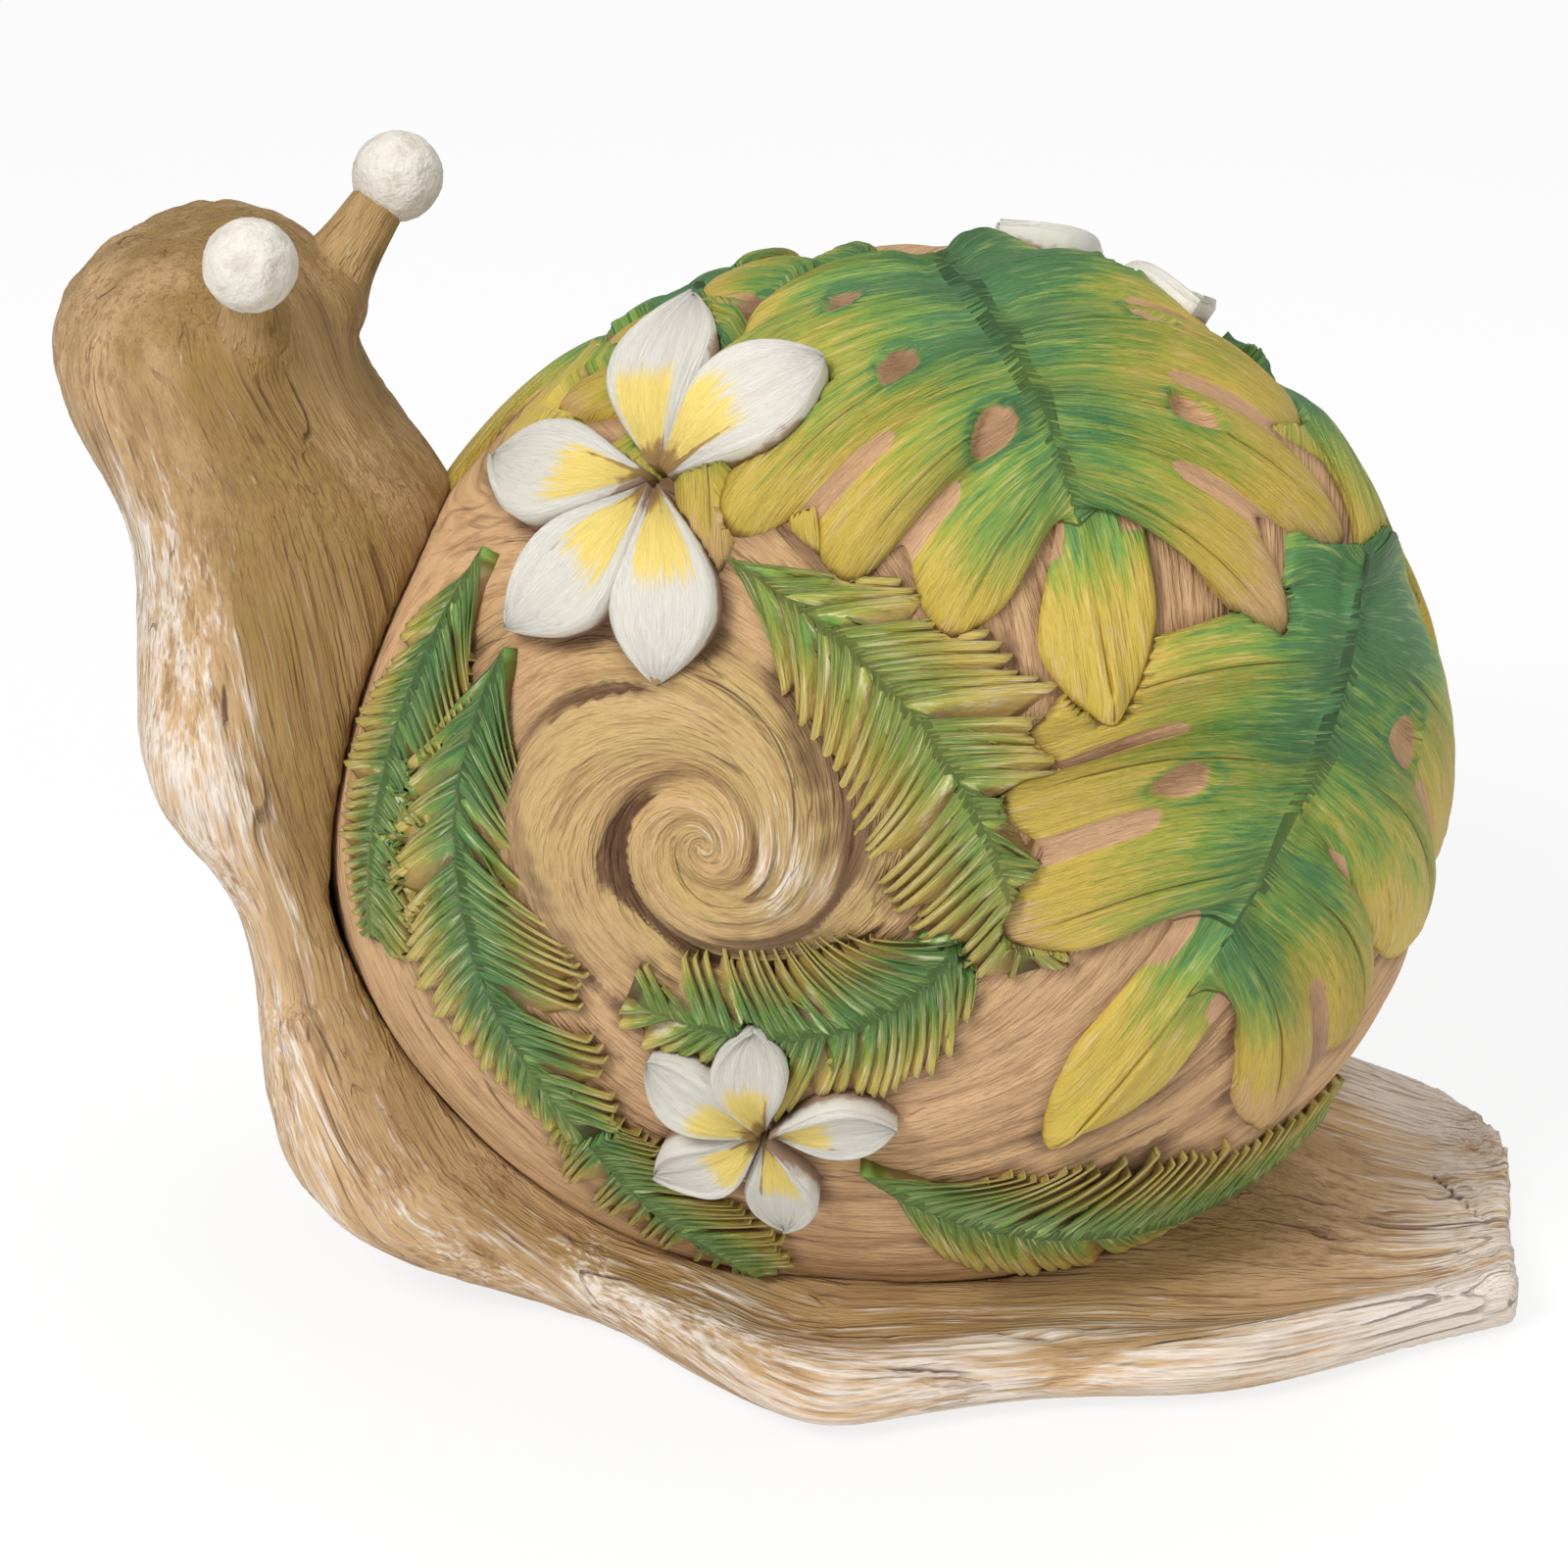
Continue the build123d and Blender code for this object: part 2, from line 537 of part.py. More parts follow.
# Eye stalks, balls and wires
for name, root_shares, tip_shares in (
    ("near", NEAR_ROOT_SHARES, NEAR_BALL_SHARES),
    ("far", FAR_ROOT_SHARES, FAR_BALL_SHARES),
):
    root = on_body(root_shares)
    tip = on_body(tip_shares)
    plane, reach = axis_plane(root, tip)
    top = reach - BALL_SOCKET
    stalk = cone(plane, -STALK_SINK, top, STALK_ROOT_RADIUS, STALK_TIP_RADIUS)
    socket = cone(
        plane, -STALK_SINK, top + FIT_GAP, STALK_ROOT_RADIUS + FIT_GAP, STALK_TIP_RADIUS + FIT_GAP
    )
    wire = rod(plane, -WIRE_SINK, reach, WIRE_RADIUS)
    wire_bore = rod(plane, -WIRE_SINK - FIT_GAP, reach + FIT_GAP, WIRE_RADIUS + FIT_GAP)
    ball = Pos(*tip) * Sphere(BALL_RADIUS)
    body = body - socket - wire_bore
    NODES["eye_stalk_" + name] = main_solid(stalk - wire_bore)
    NODES["eye_ball_" + name] = main_solid(ball - socket - wire_bore)
    NODES["stalk_wire_" + name] = wire

NODES["body_casting"] = main_solid(body)
NODES["shell_casting"] = main_solid(shell)

# Leaves and flowers, the upper ones first, each later one cut back by those above it
work = []
for table, make in (
    (FLOWER_SHARES, flower),
    (MONSTERA_SHARES, monstera),
    (FROND_SHARES, frond),
):
    for name, row in table.items():
        work.append((name, make, row, -1 if "_near_" in name else 1))
coil_tools = {side: coil(side, BOND_GAP) for side in (-1, 1)}
hug = NODES["body_casting"] & LAYERS[FLOWER_THICKNESS]
laid_pieces = []
for name, make, row, side in work:
    prism, piece = make(row, side)
    for above_prism, above_piece in laid_pieces:
        if reaches(piece, above_piece):
            piece = main_solid(piece - above_prism)
    if reaches(piece, coil_tools[side]):
        piece = main_solid(piece - coil_tools[side])
    if near_body(piece):
        piece = main_solid(piece - hug)
    laid_pieces.append((prism, piece))
    NODES[name] = piece

os.makedirs("parts", exist_ok=True)
for name, solid in NODES.items():
    solid.label = name
    export_step(solid, "parts/" + name + ".step")
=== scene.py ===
"""Snail garden figurine: the painted, carved look of the cast pieces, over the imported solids.

All sizes are metres in the shared frame: +Z up, head to -X, tail to +X, near side to -Y.
"""
import logging
import math
import random
from dataclasses import dataclass, field
from enum import Enum
from typing import Callable, Iterable, Sequence

import bmesh
import bpy
import numpy as np
from mathutils import Matrix, Vector, noise
from mathutils.bvhtree import BVHTree
from mathutils.kdtree import KDTree

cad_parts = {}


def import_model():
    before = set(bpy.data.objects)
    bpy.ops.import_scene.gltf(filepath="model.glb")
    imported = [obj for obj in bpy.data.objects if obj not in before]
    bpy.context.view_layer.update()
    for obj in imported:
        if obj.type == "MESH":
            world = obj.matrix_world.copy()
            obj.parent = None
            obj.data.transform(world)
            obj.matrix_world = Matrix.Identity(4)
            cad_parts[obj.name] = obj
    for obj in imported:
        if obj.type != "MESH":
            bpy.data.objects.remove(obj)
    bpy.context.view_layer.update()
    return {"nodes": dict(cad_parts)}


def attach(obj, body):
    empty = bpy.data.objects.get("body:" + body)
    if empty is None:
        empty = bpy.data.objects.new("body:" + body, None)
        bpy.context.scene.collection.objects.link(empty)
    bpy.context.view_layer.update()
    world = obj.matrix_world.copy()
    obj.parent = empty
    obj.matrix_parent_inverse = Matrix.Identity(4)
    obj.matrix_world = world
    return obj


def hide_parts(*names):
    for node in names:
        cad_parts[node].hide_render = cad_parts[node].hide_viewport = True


LOG = logging.getLogger("snail")
MM = 0.001
SEED = 11
UNDER = -1.6 * MM
PROBE = 0.2 * MM
CURVE_TENSION = 0.42
EYE_PLACES = {
    "near": ((-96.0 * MM, -9.5 * MM, 172.5 * MM), (-92.5 * MM, -20.0 * MM, 187.0 * MM)),
    "far": ((-87.0 * MM, 10.5 * MM, 172.0 * MM), (-77.0 * MM, 20.0 * MM, 186.0 * MM)),
}

Colour = tuple[float, float, float, float]


def srgb(red: int, green: int, blue: int) -> Colour:
    """Turns a colour as the eye names it into the linear colour that shaders take.

    Args:
        red: Red, 0 to 255.
        green: Green, 0 to 255.
        blue: Blue, 0 to 255.

    Returns:
        The linear colour with full alpha.
    """
    linear = []
    for value in (red, green, blue):
        share = value / 255
        linear.append(share / 12.92 if share <= 0.04045 else ((share + 0.055) / 1.055) ** 2.4)
    return (linear[0], linear[1], linear[2], 1.0)


def smooth(low: float, high: float, value: np.ndarray) -> np.ndarray:
    """Returns 0 below low, 1 above high and an even rise between.

    Args:
        low: Where the rise starts.
        high: Where it ends.
        value: Values to map.

    Returns:
        The mapped values.
    """
    share = np.clip((value - low) / (high - low), 0.0, 1.0)
    return share * share * (3.0 - 2.0 * share)


def bell(value: np.ndarray, width: float) -> np.ndarray:
    """Returns a bell curve of a width about zero."""
    return np.exp(-((value / width) ** 2))


def grain(coords: np.ndarray, scale: Sequence[float], shift: float = 0.0) -> np.ndarray:
    """Returns smooth noise between about -1 and 1 at stretched coordinates.

    Args:
        coords: Points, one per row.
        scale: Stretch of each axis.
        shift: Moves the pattern, so that layers differ.

    Returns:
        One value per point.
    """
    stretched = coords * np.asarray(scale) + shift
    return np.array([noise.noise(Vector(point)) for point in stretched.tolist()])


def unit(vectors: np.ndarray) -> np.ndarray:
    """Returns vectors at length one."""
    return vectors / np.maximum(np.linalg.norm(vectors, axis=-1, keepdims=True), 1e-12)


def placed(name: str, data: bpy.types.ID) -> bpy.types.Object:
    """Returns a new object of the scene that holds the data."""
    made = bpy.data.objects.new(name, data)
    bpy.context.scene.collection.objects.link(made)
    return made


class Side(Enum):
    """Sides of the figurine, by the sign of Y."""

    NEAR = -1
    FAR = 1


@dataclass(frozen=True)
class TurnedForm:
    """A round form about an axis along Y, with a rounded lip and domed sides."""

    centre_x: float
    centre_z: float
    radius: float
    half_depth: float
    lip: float

    @property
    def ring(self) -> float:
        """Distance of the lip's centre from the axis."""
        return self.radius - self.lip

    @property
    def dome(self) -> float:
        """Radius of the domed side."""
        return (self.ring**2 + self.half_depth**2 - self.lip**2) / (2 * (self.half_depth - self.lip))

    def distance(self, points: np.ndarray) -> np.ndarray:
        """Returns the signed distance of points from the form.

        Args:
            points: Points, one per row.

        Returns:
            Distances, negative inside.
        """
        drop = self.half_depth - self.dome
        out = np.hypot(points[:, 0] - self.centre_x, points[:, 2] - self.centre_z)
        deep = np.abs(points[:, 1])
        domed = out * -drop < self.ring * (deep - drop)
        on_dome = np.hypot(out, deep - drop) - self.dome
        on_lip = np.hypot(out - self.ring, deep) - self.lip
        return np.where(domed, on_dome, on_lip)


@dataclass(frozen=True)
class ShellForm:
    """The smooth outer form of the shell, on which the relief pieces lie."""

    round_form: TurnedForm = TurnedForm(1.0 * MM, 90.0 * MM, 94.5 * MM, 64.0 * MM, 50.0 * MM)
    trim_form: TurnedForm = TurnedForm(21.0 * MM, 70.0 * MM, 111.5 * MM, 84.0 * MM, 70.0 * MM)
    blend: float = 6.0 * MM
    seat_z: float = 10.0 * MM
    reach: float = 44.0 * MM
    drop_steps: int = 14
    settle_steps: int = 4
    least_slope: float = 0.35

    @property
    def centre(self) -> np.ndarray:
        """Middle of the round form."""
        return np.array([self.round_form.centre_x, 0.0, self.round_form.centre_z])

    def distance(self, points: np.ndarray) -> np.ndarray:
        """Returns the signed distance of points from the trimmed form."""
        first = self.round_form.distance(points)
        second = self.trim_form.distance(points)
        share = np.clip(0.5 + 0.5 * (first - second) / self.blend, 0.0, 1.0)
        return second + (first - second) * share + self.blend * share * (1.0 - share)

    def normals(self, points: np.ndarray) -> np.ndarray:
        """Returns the outward directions at points."""
        slopes = []
        for axis in np.eye(3) * PROBE:
            slopes.append(self.distance(points + axis) - self.distance(points - axis))
        return unit(np.stack(slopes, axis=1))

    def drop_along(self, points: np.ndarray, direction: np.ndarray) -> np.ndarray:
        """Moves points along a direction until they lie on the form.

        Args:
            points: Points, one per row.
            direction: Outward direction, one for all or one per row.

        Returns:
            The moved points.
        """
        rays = np.broadcast_to(direction, points.shape)
        travel = np.zeros(len(points))
        for _ in range(self.drop_steps):
            moved = points - rays * travel[:, None]
            here = self.distance(moved)
            slope = (self.distance(moved + rays * PROBE) - here) / PROBE
            travel = travel + here / np.maximum(slope, self.least_slope)
            travel = np.clip(travel, -self.reach, self.reach)
        moved = points - rays * travel[:, None]
        for _ in range(self.settle_steps):
            moved = moved - self.normals(moved) * self.distance(moved)[:, None]
        return moved

    def place(self, clock: float, reach: float, side: Side) -> tuple[np.ndarray, np.ndarray]:
        """Returns the point and outward normal of a place on the form.

        Args:
            clock: Angle about the shell's axis in degrees, from the tail upward.
            reach: Share of the shell's radius.
            side: Side of the figurine.

        Returns:
            The point and its normal.
        """
        form = self.round_form
        angle = math.radians(clock)
        out = min(reach, 1.0) * form.radius
        if out < form.ring + form.lip * form.ring / (form.dome - form.lip):
            deep = form.half_depth - form.dome + math.sqrt(form.dome**2 - out**2)
            normal = np.array([out * math.cos(angle), side.value * (deep - form.half_depth + form.dome),
                               out * math.sin(angle)])
        else:
            deep = math.sqrt(max(form.lip**2 - (out - form.ring) ** 2, 0.0))
            normal = np.array([(out - form.ring) * math.cos(angle), side.value * deep,
                               (out - form.ring) * math.sin(angle)])
        point = self.centre + np.array([out * math.cos(angle), side.value * deep, out * math.sin(angle)])
        return point, unit(normal)


@dataclass(frozen=True)
class LeafBed:
    """The plane over the shell in which a leaf or flower is drawn before it is laid down."""

    form: ShellForm
    origin: np.ndarray
    normal: np.ndarray
    ahead: np.ndarray
    length: float
    start: np.ndarray
    bow: float

    @classmethod
    def along(cls, form: ShellForm, row: Sequence[float], side: Side) -> "LeafBed":
        """Makes the bed of a leaf from its base, middle and tip.

        Args:
            form: The shell's form.
            row: Clock and reach of the base, the middle and the tip.
            side: Side of the figurine.

        Returns:
            The bed.
        """
        base, _ = form.place(row[0], row[1], side)
        middle, normal = form.place(row[2], row[3], side)
        tip, _ = form.place(row[4], row[5], side)
        chord = tip - base
        flat = chord - normal * (chord @ normal)
        ahead = unit(flat)
        across = np.cross(normal, ahead)
        start = np.array([(base - middle) @ ahead, (base - middle) @ across])
        bow = -(start[1] + (tip - middle) @ across) / 2
        return cls(form, middle, normal, ahead, float(np.linalg.norm(flat)), start, float(bow))

    @classmethod
    def at(cls, form: ShellForm, clock: float, reach: float, side: Side) -> "LeafBed":
        """Makes the bed of a flower about its centre."""
        centre, normal = form.place(clock, reach, side)
        ahead = unit(np.cross(normal, np.array([0.0, 1.0, 0.0])))
        return cls(form, centre, normal, ahead, 1.0, np.zeros(2), 0.0)

    def flat(self, along: np.ndarray, across: np.ndarray) -> np.ndarray:
        """Returns plane points of places along and across a bowed leaf.

        Args:
            along: Shares of the length.
            across: Distances from the rib, in metres.

        Returns:
            Points in the plane, two values per row.
        """
        lift = 4 * self.bow * along * (1 - along)
        slope = 4 * self.bow * (1 - 2 * along) / self.length
        size = np.hypot(1.0, slope)
        return np.stack([self.start[0] + along * self.length - across * slope / size,
                         self.start[1] + lift + across / size], axis=1)

    def lay(self, flat: np.ndarray, height: np.ndarray) -> np.ndarray:
        """Lays plane points on the shell at a height above it.

        Args:
            flat: Plane points.
            height: Height of each above the shell, in metres.

        Returns:
            Points in the shared frame.
        """
        across = np.cross(self.normal, self.ahead)
        points = self.origin + flat[:, :1] * self.ahead + flat[:, 1:] * across
        down = self.form.drop_along(points, self.normal)
        return down + self.form.normals(down) * height[:, None]


@dataclass(frozen=True)
class Cover:
    """The outline of an upper piece, which hides what lies under it."""

    bed: LeafBed
    outline: np.ndarray

    @classmethod
    def around(cls, bed: LeafBed, flat: np.ndarray, turn: np.ndarray, out: np.ndarray) -> "Cover":
        """Makes the cover of a sheet from its outermost points.

        Args:
            bed: The sheet's plane.
            flat: Its plane points.
            turn: Places of the points round the outline, 0 to 1.
            out: Places of the points from the rib outward, 0 to 1.

        Returns:
            The cover.
        """
        rim = np.flatnonzero(out > 0.999)
        return cls(bed, flat[rim[np.argsort(turn[rim])]])

    def hides(self, points: np.ndarray) -> np.ndarray:
        """Tells which points lie under the piece.

        Args:
            points: Points on the shell, one per row.

        Returns:
            True for each hidden point.
        """
        gap = points - self.bed.origin
        x = gap @ self.bed.ahead
        y = gap @ np.cross(self.bed.normal, self.bed.ahead)
        close = np.abs(gap @ self.bed.normal) < self.bed.form.reach
        odd = np.zeros(len(points), bool)
        for (x_0, y_0), (x_1, y_1) in zip(self.outline, np.roll(self.outline, -1, axis=0)):
            if y_0 != y_1:
                odd ^= ((y_0 > y) != (y_1 > y)) & (x < x_0 + (x_1 - x_0) * (y - y_0) / (y_1 - y_0))
        return odd & close

    def edge(self) -> np.ndarray:
        """Returns the outline's points on the shell."""
        return self.bed.lay(self.outline, np.zeros(len(self.outline)))


def edge_gaps(covers: Iterable[Cover], points: np.ndarray) -> np.ndarray:
    """Returns how far points lie from the nearest outline.

    Args:
        covers: The pieces with outlines.
        points: Points, one per row.

    Returns:
        Distances in metres.
    """
    edges = np.concatenate([cover.edge() for cover in covers])
    tree = KDTree(len(edges))
    for index, place in enumerate(edges.tolist()):
        tree.insert(place, index)
    tree.balance()
    return np.array([tree.find(place)[2] for place in points.tolist()])


def sunk(covers: Iterable[Cover], bed: LeafBed, flat: np.ndarray, height: np.ndarray) -> np.ndarray:
    """Returns heights in which a piece sinks away wherever an upper piece covers it.

    Args:
        covers: The upper pieces.
        bed: The lower piece's plane.
        flat: Its plane points.
        height: Its heights.

    Returns:
        The changed heights.
    """
    points = bed.lay(flat, np.zeros(len(flat)))
    for cover in covers:
        height = np.where(cover.hides(points), UNDER, height)
    return height


class Signal:
    """A shader value that takes part in Python sums."""

    def __init__(self, graph: "PaintGraph", socket: bpy.types.NodeSocket) -> None:
        """Keeps the socket and the graph it belongs to."""
        self.graph = graph
        self.socket = socket

    def __add__(self, other: "Signal | float") -> "Signal":
        """Adds."""
        return self.graph.math("ADD", self, other)

    __radd__ = __add__

    def __mul__(self, other: "Signal | float") -> "Signal":
        """Multiplies."""
        return self.graph.math("MULTIPLY", self, other)

    __rmul__ = __mul__

    def __sub__(self, other: "Signal | float") -> "Signal":
        """Subtracts."""
        return self.graph.math("SUBTRACT", self, other)

    def __rsub__(self, other: float) -> "Signal":
        """Subtracts from a number."""
        return self.graph.math("SUBTRACT", other, self)

    def rise(self, low: float, high: float) -> "Signal":
        """Returns an even rise from 0 at low to 1 at high."""
        return self.graph.node(
            "ShaderNodeMapRange",
            {"interpolation_type": "SMOOTHSTEP"},
            {"Value": self, "From Min": low, "From Max": high},
        )


class PaintGraph:
    """The node tree of one paint."""

    def __init__(self, owner: bpy.types.Material | bpy.types.World) -> None:
        """Starts an empty tree.

        Args:
            owner: The material or world that holds the tree.
        """
        owner.use_nodes = True
        self.owner = owner
        self.tree = owner.node_tree
        self.tree.nodes.clear()

    @classmethod
    def named(cls, name: str) -> "PaintGraph":
        """Returns the tree of a new material."""
        return cls(bpy.data.materials.new(name))

    def node(self, kind: str, settings: dict | None = None, inputs: dict | None = None,
             output: int | str = 0) -> Signal:
        """Adds one node.

        Args:
            kind: The node's type.
            settings: Its own values, set first.
            inputs: Values or signals of its sockets, by name or index.
            output: The socket to return.

        Returns:
            The chosen output.
        """
        made = self.tree.nodes.new(kind)
        for key, value in (settings or {}).items():
            setattr(made, key, value)
        for key, value in (inputs or {}).items():
            if isinstance(value, Signal):
                self.tree.links.new(value.socket, made.inputs[key])
            else:
                made.inputs[key].default_value = value
        return Signal(self, made.outputs[output] if made.outputs else None)

    def math(self, operation: str, first: Signal | float, second: Signal | float) -> Signal:
        """Adds a Math node."""
        return self.node("ShaderNodeMath", {"operation": operation}, {0: first, 1: second})

    def value(self, name: str) -> Signal:
        """Returns a number painted on the mesh."""
        return self.node("ShaderNodeAttribute", {"attribute_name": name}, output="Fac")

    def streaks(self, name: str, scale: tuple[float, float, float], detail: float = 3.0,
                roughness: float = 0.55) -> Signal:
        """Returns noise stretched along a direction painted on the mesh.

        Args:
            name: Attribute with the coordinates.
            scale: Stretch of each axis.
            detail: Octaves of the noise.
            roughness: Weight of the fine octaves.

        Returns:
            Noise from 0 to 1.
        """
        coords = self.node("ShaderNodeAttribute", {"attribute_name": name}, output="Vector")
        stretched = self.node("ShaderNodeVectorMath", {"operation": "MULTIPLY"}, {0: coords, 1: scale})
        return self.node("ShaderNodeTexNoise", None, {
            "Vector": stretched, "Scale": 1.0, "Detail": detail, "Roughness": roughness})

    def speckle(self, scale: float, detail: float = 2.0) -> Signal:
        """Returns even noise over the object."""
        coords = self.node("ShaderNodeTexCoord", output="Object")
        return self.node("ShaderNodeTexNoise", None, {"Vector": coords, "Scale": scale, "Detail": detail})

    def mix(self, share: Signal | float, first: Signal | Colour, second: Signal | Colour) -> Signal:
        """Mixes two colours by a share of the second."""
        return self.node("ShaderNodeMix", {"data_type": "RGBA"}, {0: share, 6: first, 7: second}, output=2)

    def finish(self, colour: Signal | Colour, rough: Signal | float, height: Signal | None = None,
               lift: float = 0.0, metal: float = 0.0) -> bpy.types.Material:
        """Ends the tree in a surface.

        Args:
            colour: Base colour.
            rough: Roughness.
            height: Bump height, 0 to 1.
            lift: Bump distance, in metres.
            metal: Metallic share.

        Returns:
            The material.
        """
        inputs = {"Base Color": colour, "Roughness": rough, "Metallic": metal}
        if height is not None:
            inputs["Normal"] = self.node("ShaderNodeBump", None, {
                "Height": height, "Distance": lift, "Strength": 1.0}, output="Normal")
        surface = self.node("ShaderNodeBsdfPrincipled", None, inputs)
        self.node("ShaderNodeOutputMaterial", None, {"Surface": surface})
        return self.owner


@dataclass(frozen=True)
class WoodPaint:
    """Carved wood look: tan, olive wash, dark cracks and white dry brush; the olive wash and the groove
    darkness also carry painted shade along the joins.
    """

    tan: Colour = srgb(203, 168, 125)
    deep: Colour = srgb(144, 108, 68)
    olive: Colour = srgb(144, 114, 60)
    white: Colour = srgb(230, 219, 208)
    crack: Colour = srgb(84, 52, 30)
    streak: float = 0.72

    @staticmethod
    def lines(graph: PaintGraph, scale: tuple[float, float, float], width: float) -> Signal:
        """Returns thin lines along the grain.

        Args:
            graph: The tree.
            scale: Stretch of each axis.
            width: Width of a line, as a share of the noise.

        Returns:
            1 on the lines and 0 between them.
        """
        wave = graph.streaks("grain", scale, 1.0)
        return 1.0 - graph.math("ABSOLUTE", wave - 0.5, 0.0).rise(0.15 * width, width)

    def make(self, name: str) -> bpy.types.Material:
        """Makes the material.

        Args:
            name: Name of the material.

        Returns:
            The material, which reads grain, the olive wash with its painted shade, brush, crack and groove.
        """
        graph = PaintGraph.named(name)
        broad = graph.streaks("grain", (9.0, 70.0, 70.0), 3.0)
        fine = graph.streaks("grain", (38.0, 620.0, 620.0), 3.0, 0.6)
        hair = graph.streaks("grain", (70.0, 1500.0, 1500.0), 2.0, 0.5)
        dabs = graph.streaks("grain", (20.0, 640.0, 640.0), 4.0, 0.65)
        groove = graph.value("groove")
        slits = self.lines(graph, (3.0, 120.0, 120.0), 0.016) * graph.streaks(
            "grain", (22.0, 90.0, 90.0), 2.0).rise(0.56, 0.66)
        scratches = self.lines(graph, (9.0, 330.0, 330.0), 0.022) * graph.streaks(
            "grain", (34.0, 150.0, 150.0), 2.0).rise(0.54, 0.66)
        lines = graph.math("MAXIMUM", slits, scratches * 0.5)
        tan = graph.mix(broad.rise(0.4, 0.75) * 0.4, self.tan, self.deep)
        # Olive wash of the paint, which on the body next to the shell is painted shade.
        washing = graph.value("wash") * (0.55 + 0.75 * broad.rise(0.3, 0.65)) * 0.85
        washed = graph.mix(washing, tan, self.olive)
        lined = graph.mix((1.0 - fine.rise(0.34, 0.52)) * self.streak, washed, self.deep)
        # Towards the crack colour in the grooves; on the body and shell this also paints shade along the
        # joins.
        dark = graph.mix(groove.rise(0.15, 0.9) * 0.75, lined, self.crack)
        brushed = graph.value("brush") + (dabs - 0.5) * 1.2 + (hair - 0.5) * 1.5 - groove * 0.5
        white = graph.mix(brushed.rise(0.18, 0.86) * 0.84, dark, self.white)
        opened = (graph.value("crack") + (hair - 0.5) * 0.5).rise(0.5, 0.85) * 0.9
        cracked = graph.mix(graph.math("MAXIMUM", opened, lines * 0.55), white, self.crack)
        relief = fine * 0.7 + hair * 0.5 + dabs * 0.5 - lines * 0.5
        return graph.finish(cracked, 0.66 + 0.14 * fine, relief, 1.6 * MM)


@dataclass(frozen=True)
class LeafPaint:
    """Hand-painted leaf: dark green rib, yellow lobes, brown in the recesses."""

    dark: Colour = srgb(70, 120, 66)
    green: Colour = srgb(112, 146, 56)
    lime: Colour = srgb(156, 156, 52)
    yellow: Colour = srgb(190, 164, 64)
    tan: Colour = srgb(198, 156, 116)
    brown: Colour = srgb(104, 70, 42)
    pale: Colour = srgb(226, 226, 200)
    pale_share: float = 0.16

    def make(self, name: str) -> bpy.types.Material:
        """Makes the material.

        Args:
            name: Name of the material.

        Returns:
            The material, which reads grain, tone, hole and groove.
        """
        graph = PaintGraph.named(name)
        stroke = graph.streaks("grain", (1.1, 3.4, 1.0), 4.0, 0.6)
        hair = graph.streaks("grain", (2.2, 13.0, 1.0), 3.0, 0.6)
        patch = graph.speckle(26.0, 3.0)
        groove = graph.value("groove")
        tone = graph.value("tone") + (stroke - 0.5) * 1.15 + (patch - 0.5) * 0.5 + (hair - 0.5) * 0.6
        first = graph.mix(tone.rise(0.14, 0.38), self.dark, self.green)
        second = graph.mix(tone.rise(0.36, 0.58), first, self.lime)
        third = graph.mix(tone.rise(0.58, 0.84), second, self.yellow)
        worn = graph.mix((tone + (hair - 0.5)).rise(1.15, 1.5) * 0.7, third, self.tan)
        lined = graph.mix((1.0 - hair.rise(0.28, 0.44)) * 0.30, worn, self.brown)
        pale = graph.mix((hair + stroke * 0.6).rise(0.82, 1.02) * self.pale_share, lined, self.pale)
        # Brown in the grooves, which also holds the painted shade on the walls' feet.
        dark = graph.mix((groove + (patch - 0.5) * 0.3).rise(0.3, 0.95) * 0.8, pale, self.brown)
        clay = graph.mix(patch.rise(0.45, 0.7), self.tan, self.brown)
        bare = graph.mix(graph.value("hole").rise(0.25, 0.7), dark, clay)
        return graph.finish(bare, 0.42 + 0.22 * stroke, hair * 0.45 + stroke * 0.7, 1.4 * MM)


@dataclass(frozen=True)
class PetalPaint:
    """White petal with a yellow throat and brown specks."""

    white: Colour = srgb(208, 204, 194)
    cream: Colour = srgb(192, 178, 154)
    yellow: Colour = srgb(230, 200, 58)
    brown: Colour = srgb(132, 84, 44)

    def make(self, name: str) -> bpy.types.Material:
        """Makes the material, which reads grain, throat and groove."""
        graph = PaintGraph.named(name)
        stroke = graph.streaks("grain", (2.0, 9.0, 1.0), 4.0, 0.6)
        hair = graph.streaks("grain", (6.0, 46.0, 1.0), 3.0, 0.6)
        speck = graph.speckle(420.0, 4.0)
        throat = graph.value("throat")
        base = graph.mix(hair.rise(0.5, 0.75) * 0.5, self.white, self.cream)
        yolk = (throat + (stroke - 0.5) * 1.2 + (hair - 0.5) * 0.9).rise(0.40, 0.84) * 0.78
        warm = graph.mix(yolk, base, self.yellow)
        # Brown specks and grooves, which also hold the painted shade on the walls' feet.
        spots = (speck * 0.6 + graph.value("groove") + throat * 0.12).rise(0.62, 0.85)
        colour = graph.mix(spots * 0.75, warm, self.brown)
        return graph.finish(colour, 0.5, hair * 0.7 + stroke * 0.4, 0.5 * MM)


@dataclass(frozen=True)
class EyePaint:
    """Thick off-white brushed paint."""

    white: Colour = srgb(206, 200, 190)
    shade: Colour = srgb(172, 158, 140)

    def make(self, name: str) -> bpy.types.Material:
        """Makes the material."""
        graph = PaintGraph.named(name)
        coarse = graph.speckle(340.0, 5.0)
        fine = graph.speckle(1300.0, 3.0)
        colour = graph.mix((1.0 - coarse.rise(0.3, 0.55)) * 0.5, self.white, self.shade)
        return graph.finish(colour, 0.62, coarse + fine * 0.4, 0.8 * MM)


@dataclass(frozen=True)
class PlainPaint:
    """One colour with a little grain, for the pieces inside."""

    light: Colour
    dark: Colour
    rough: float
    metal: float = 0.0

    def make(self, name: str) -> bpy.types.Material:
        """Makes the material."""
        graph = PaintGraph.named(name)
        cloud = graph.speckle(240.0, 3.0)
        colour = graph.mix(cloud, self.light, self.dark)
        return graph.finish(colour, self.rough + 0.1 * cloud, metal=self.metal)


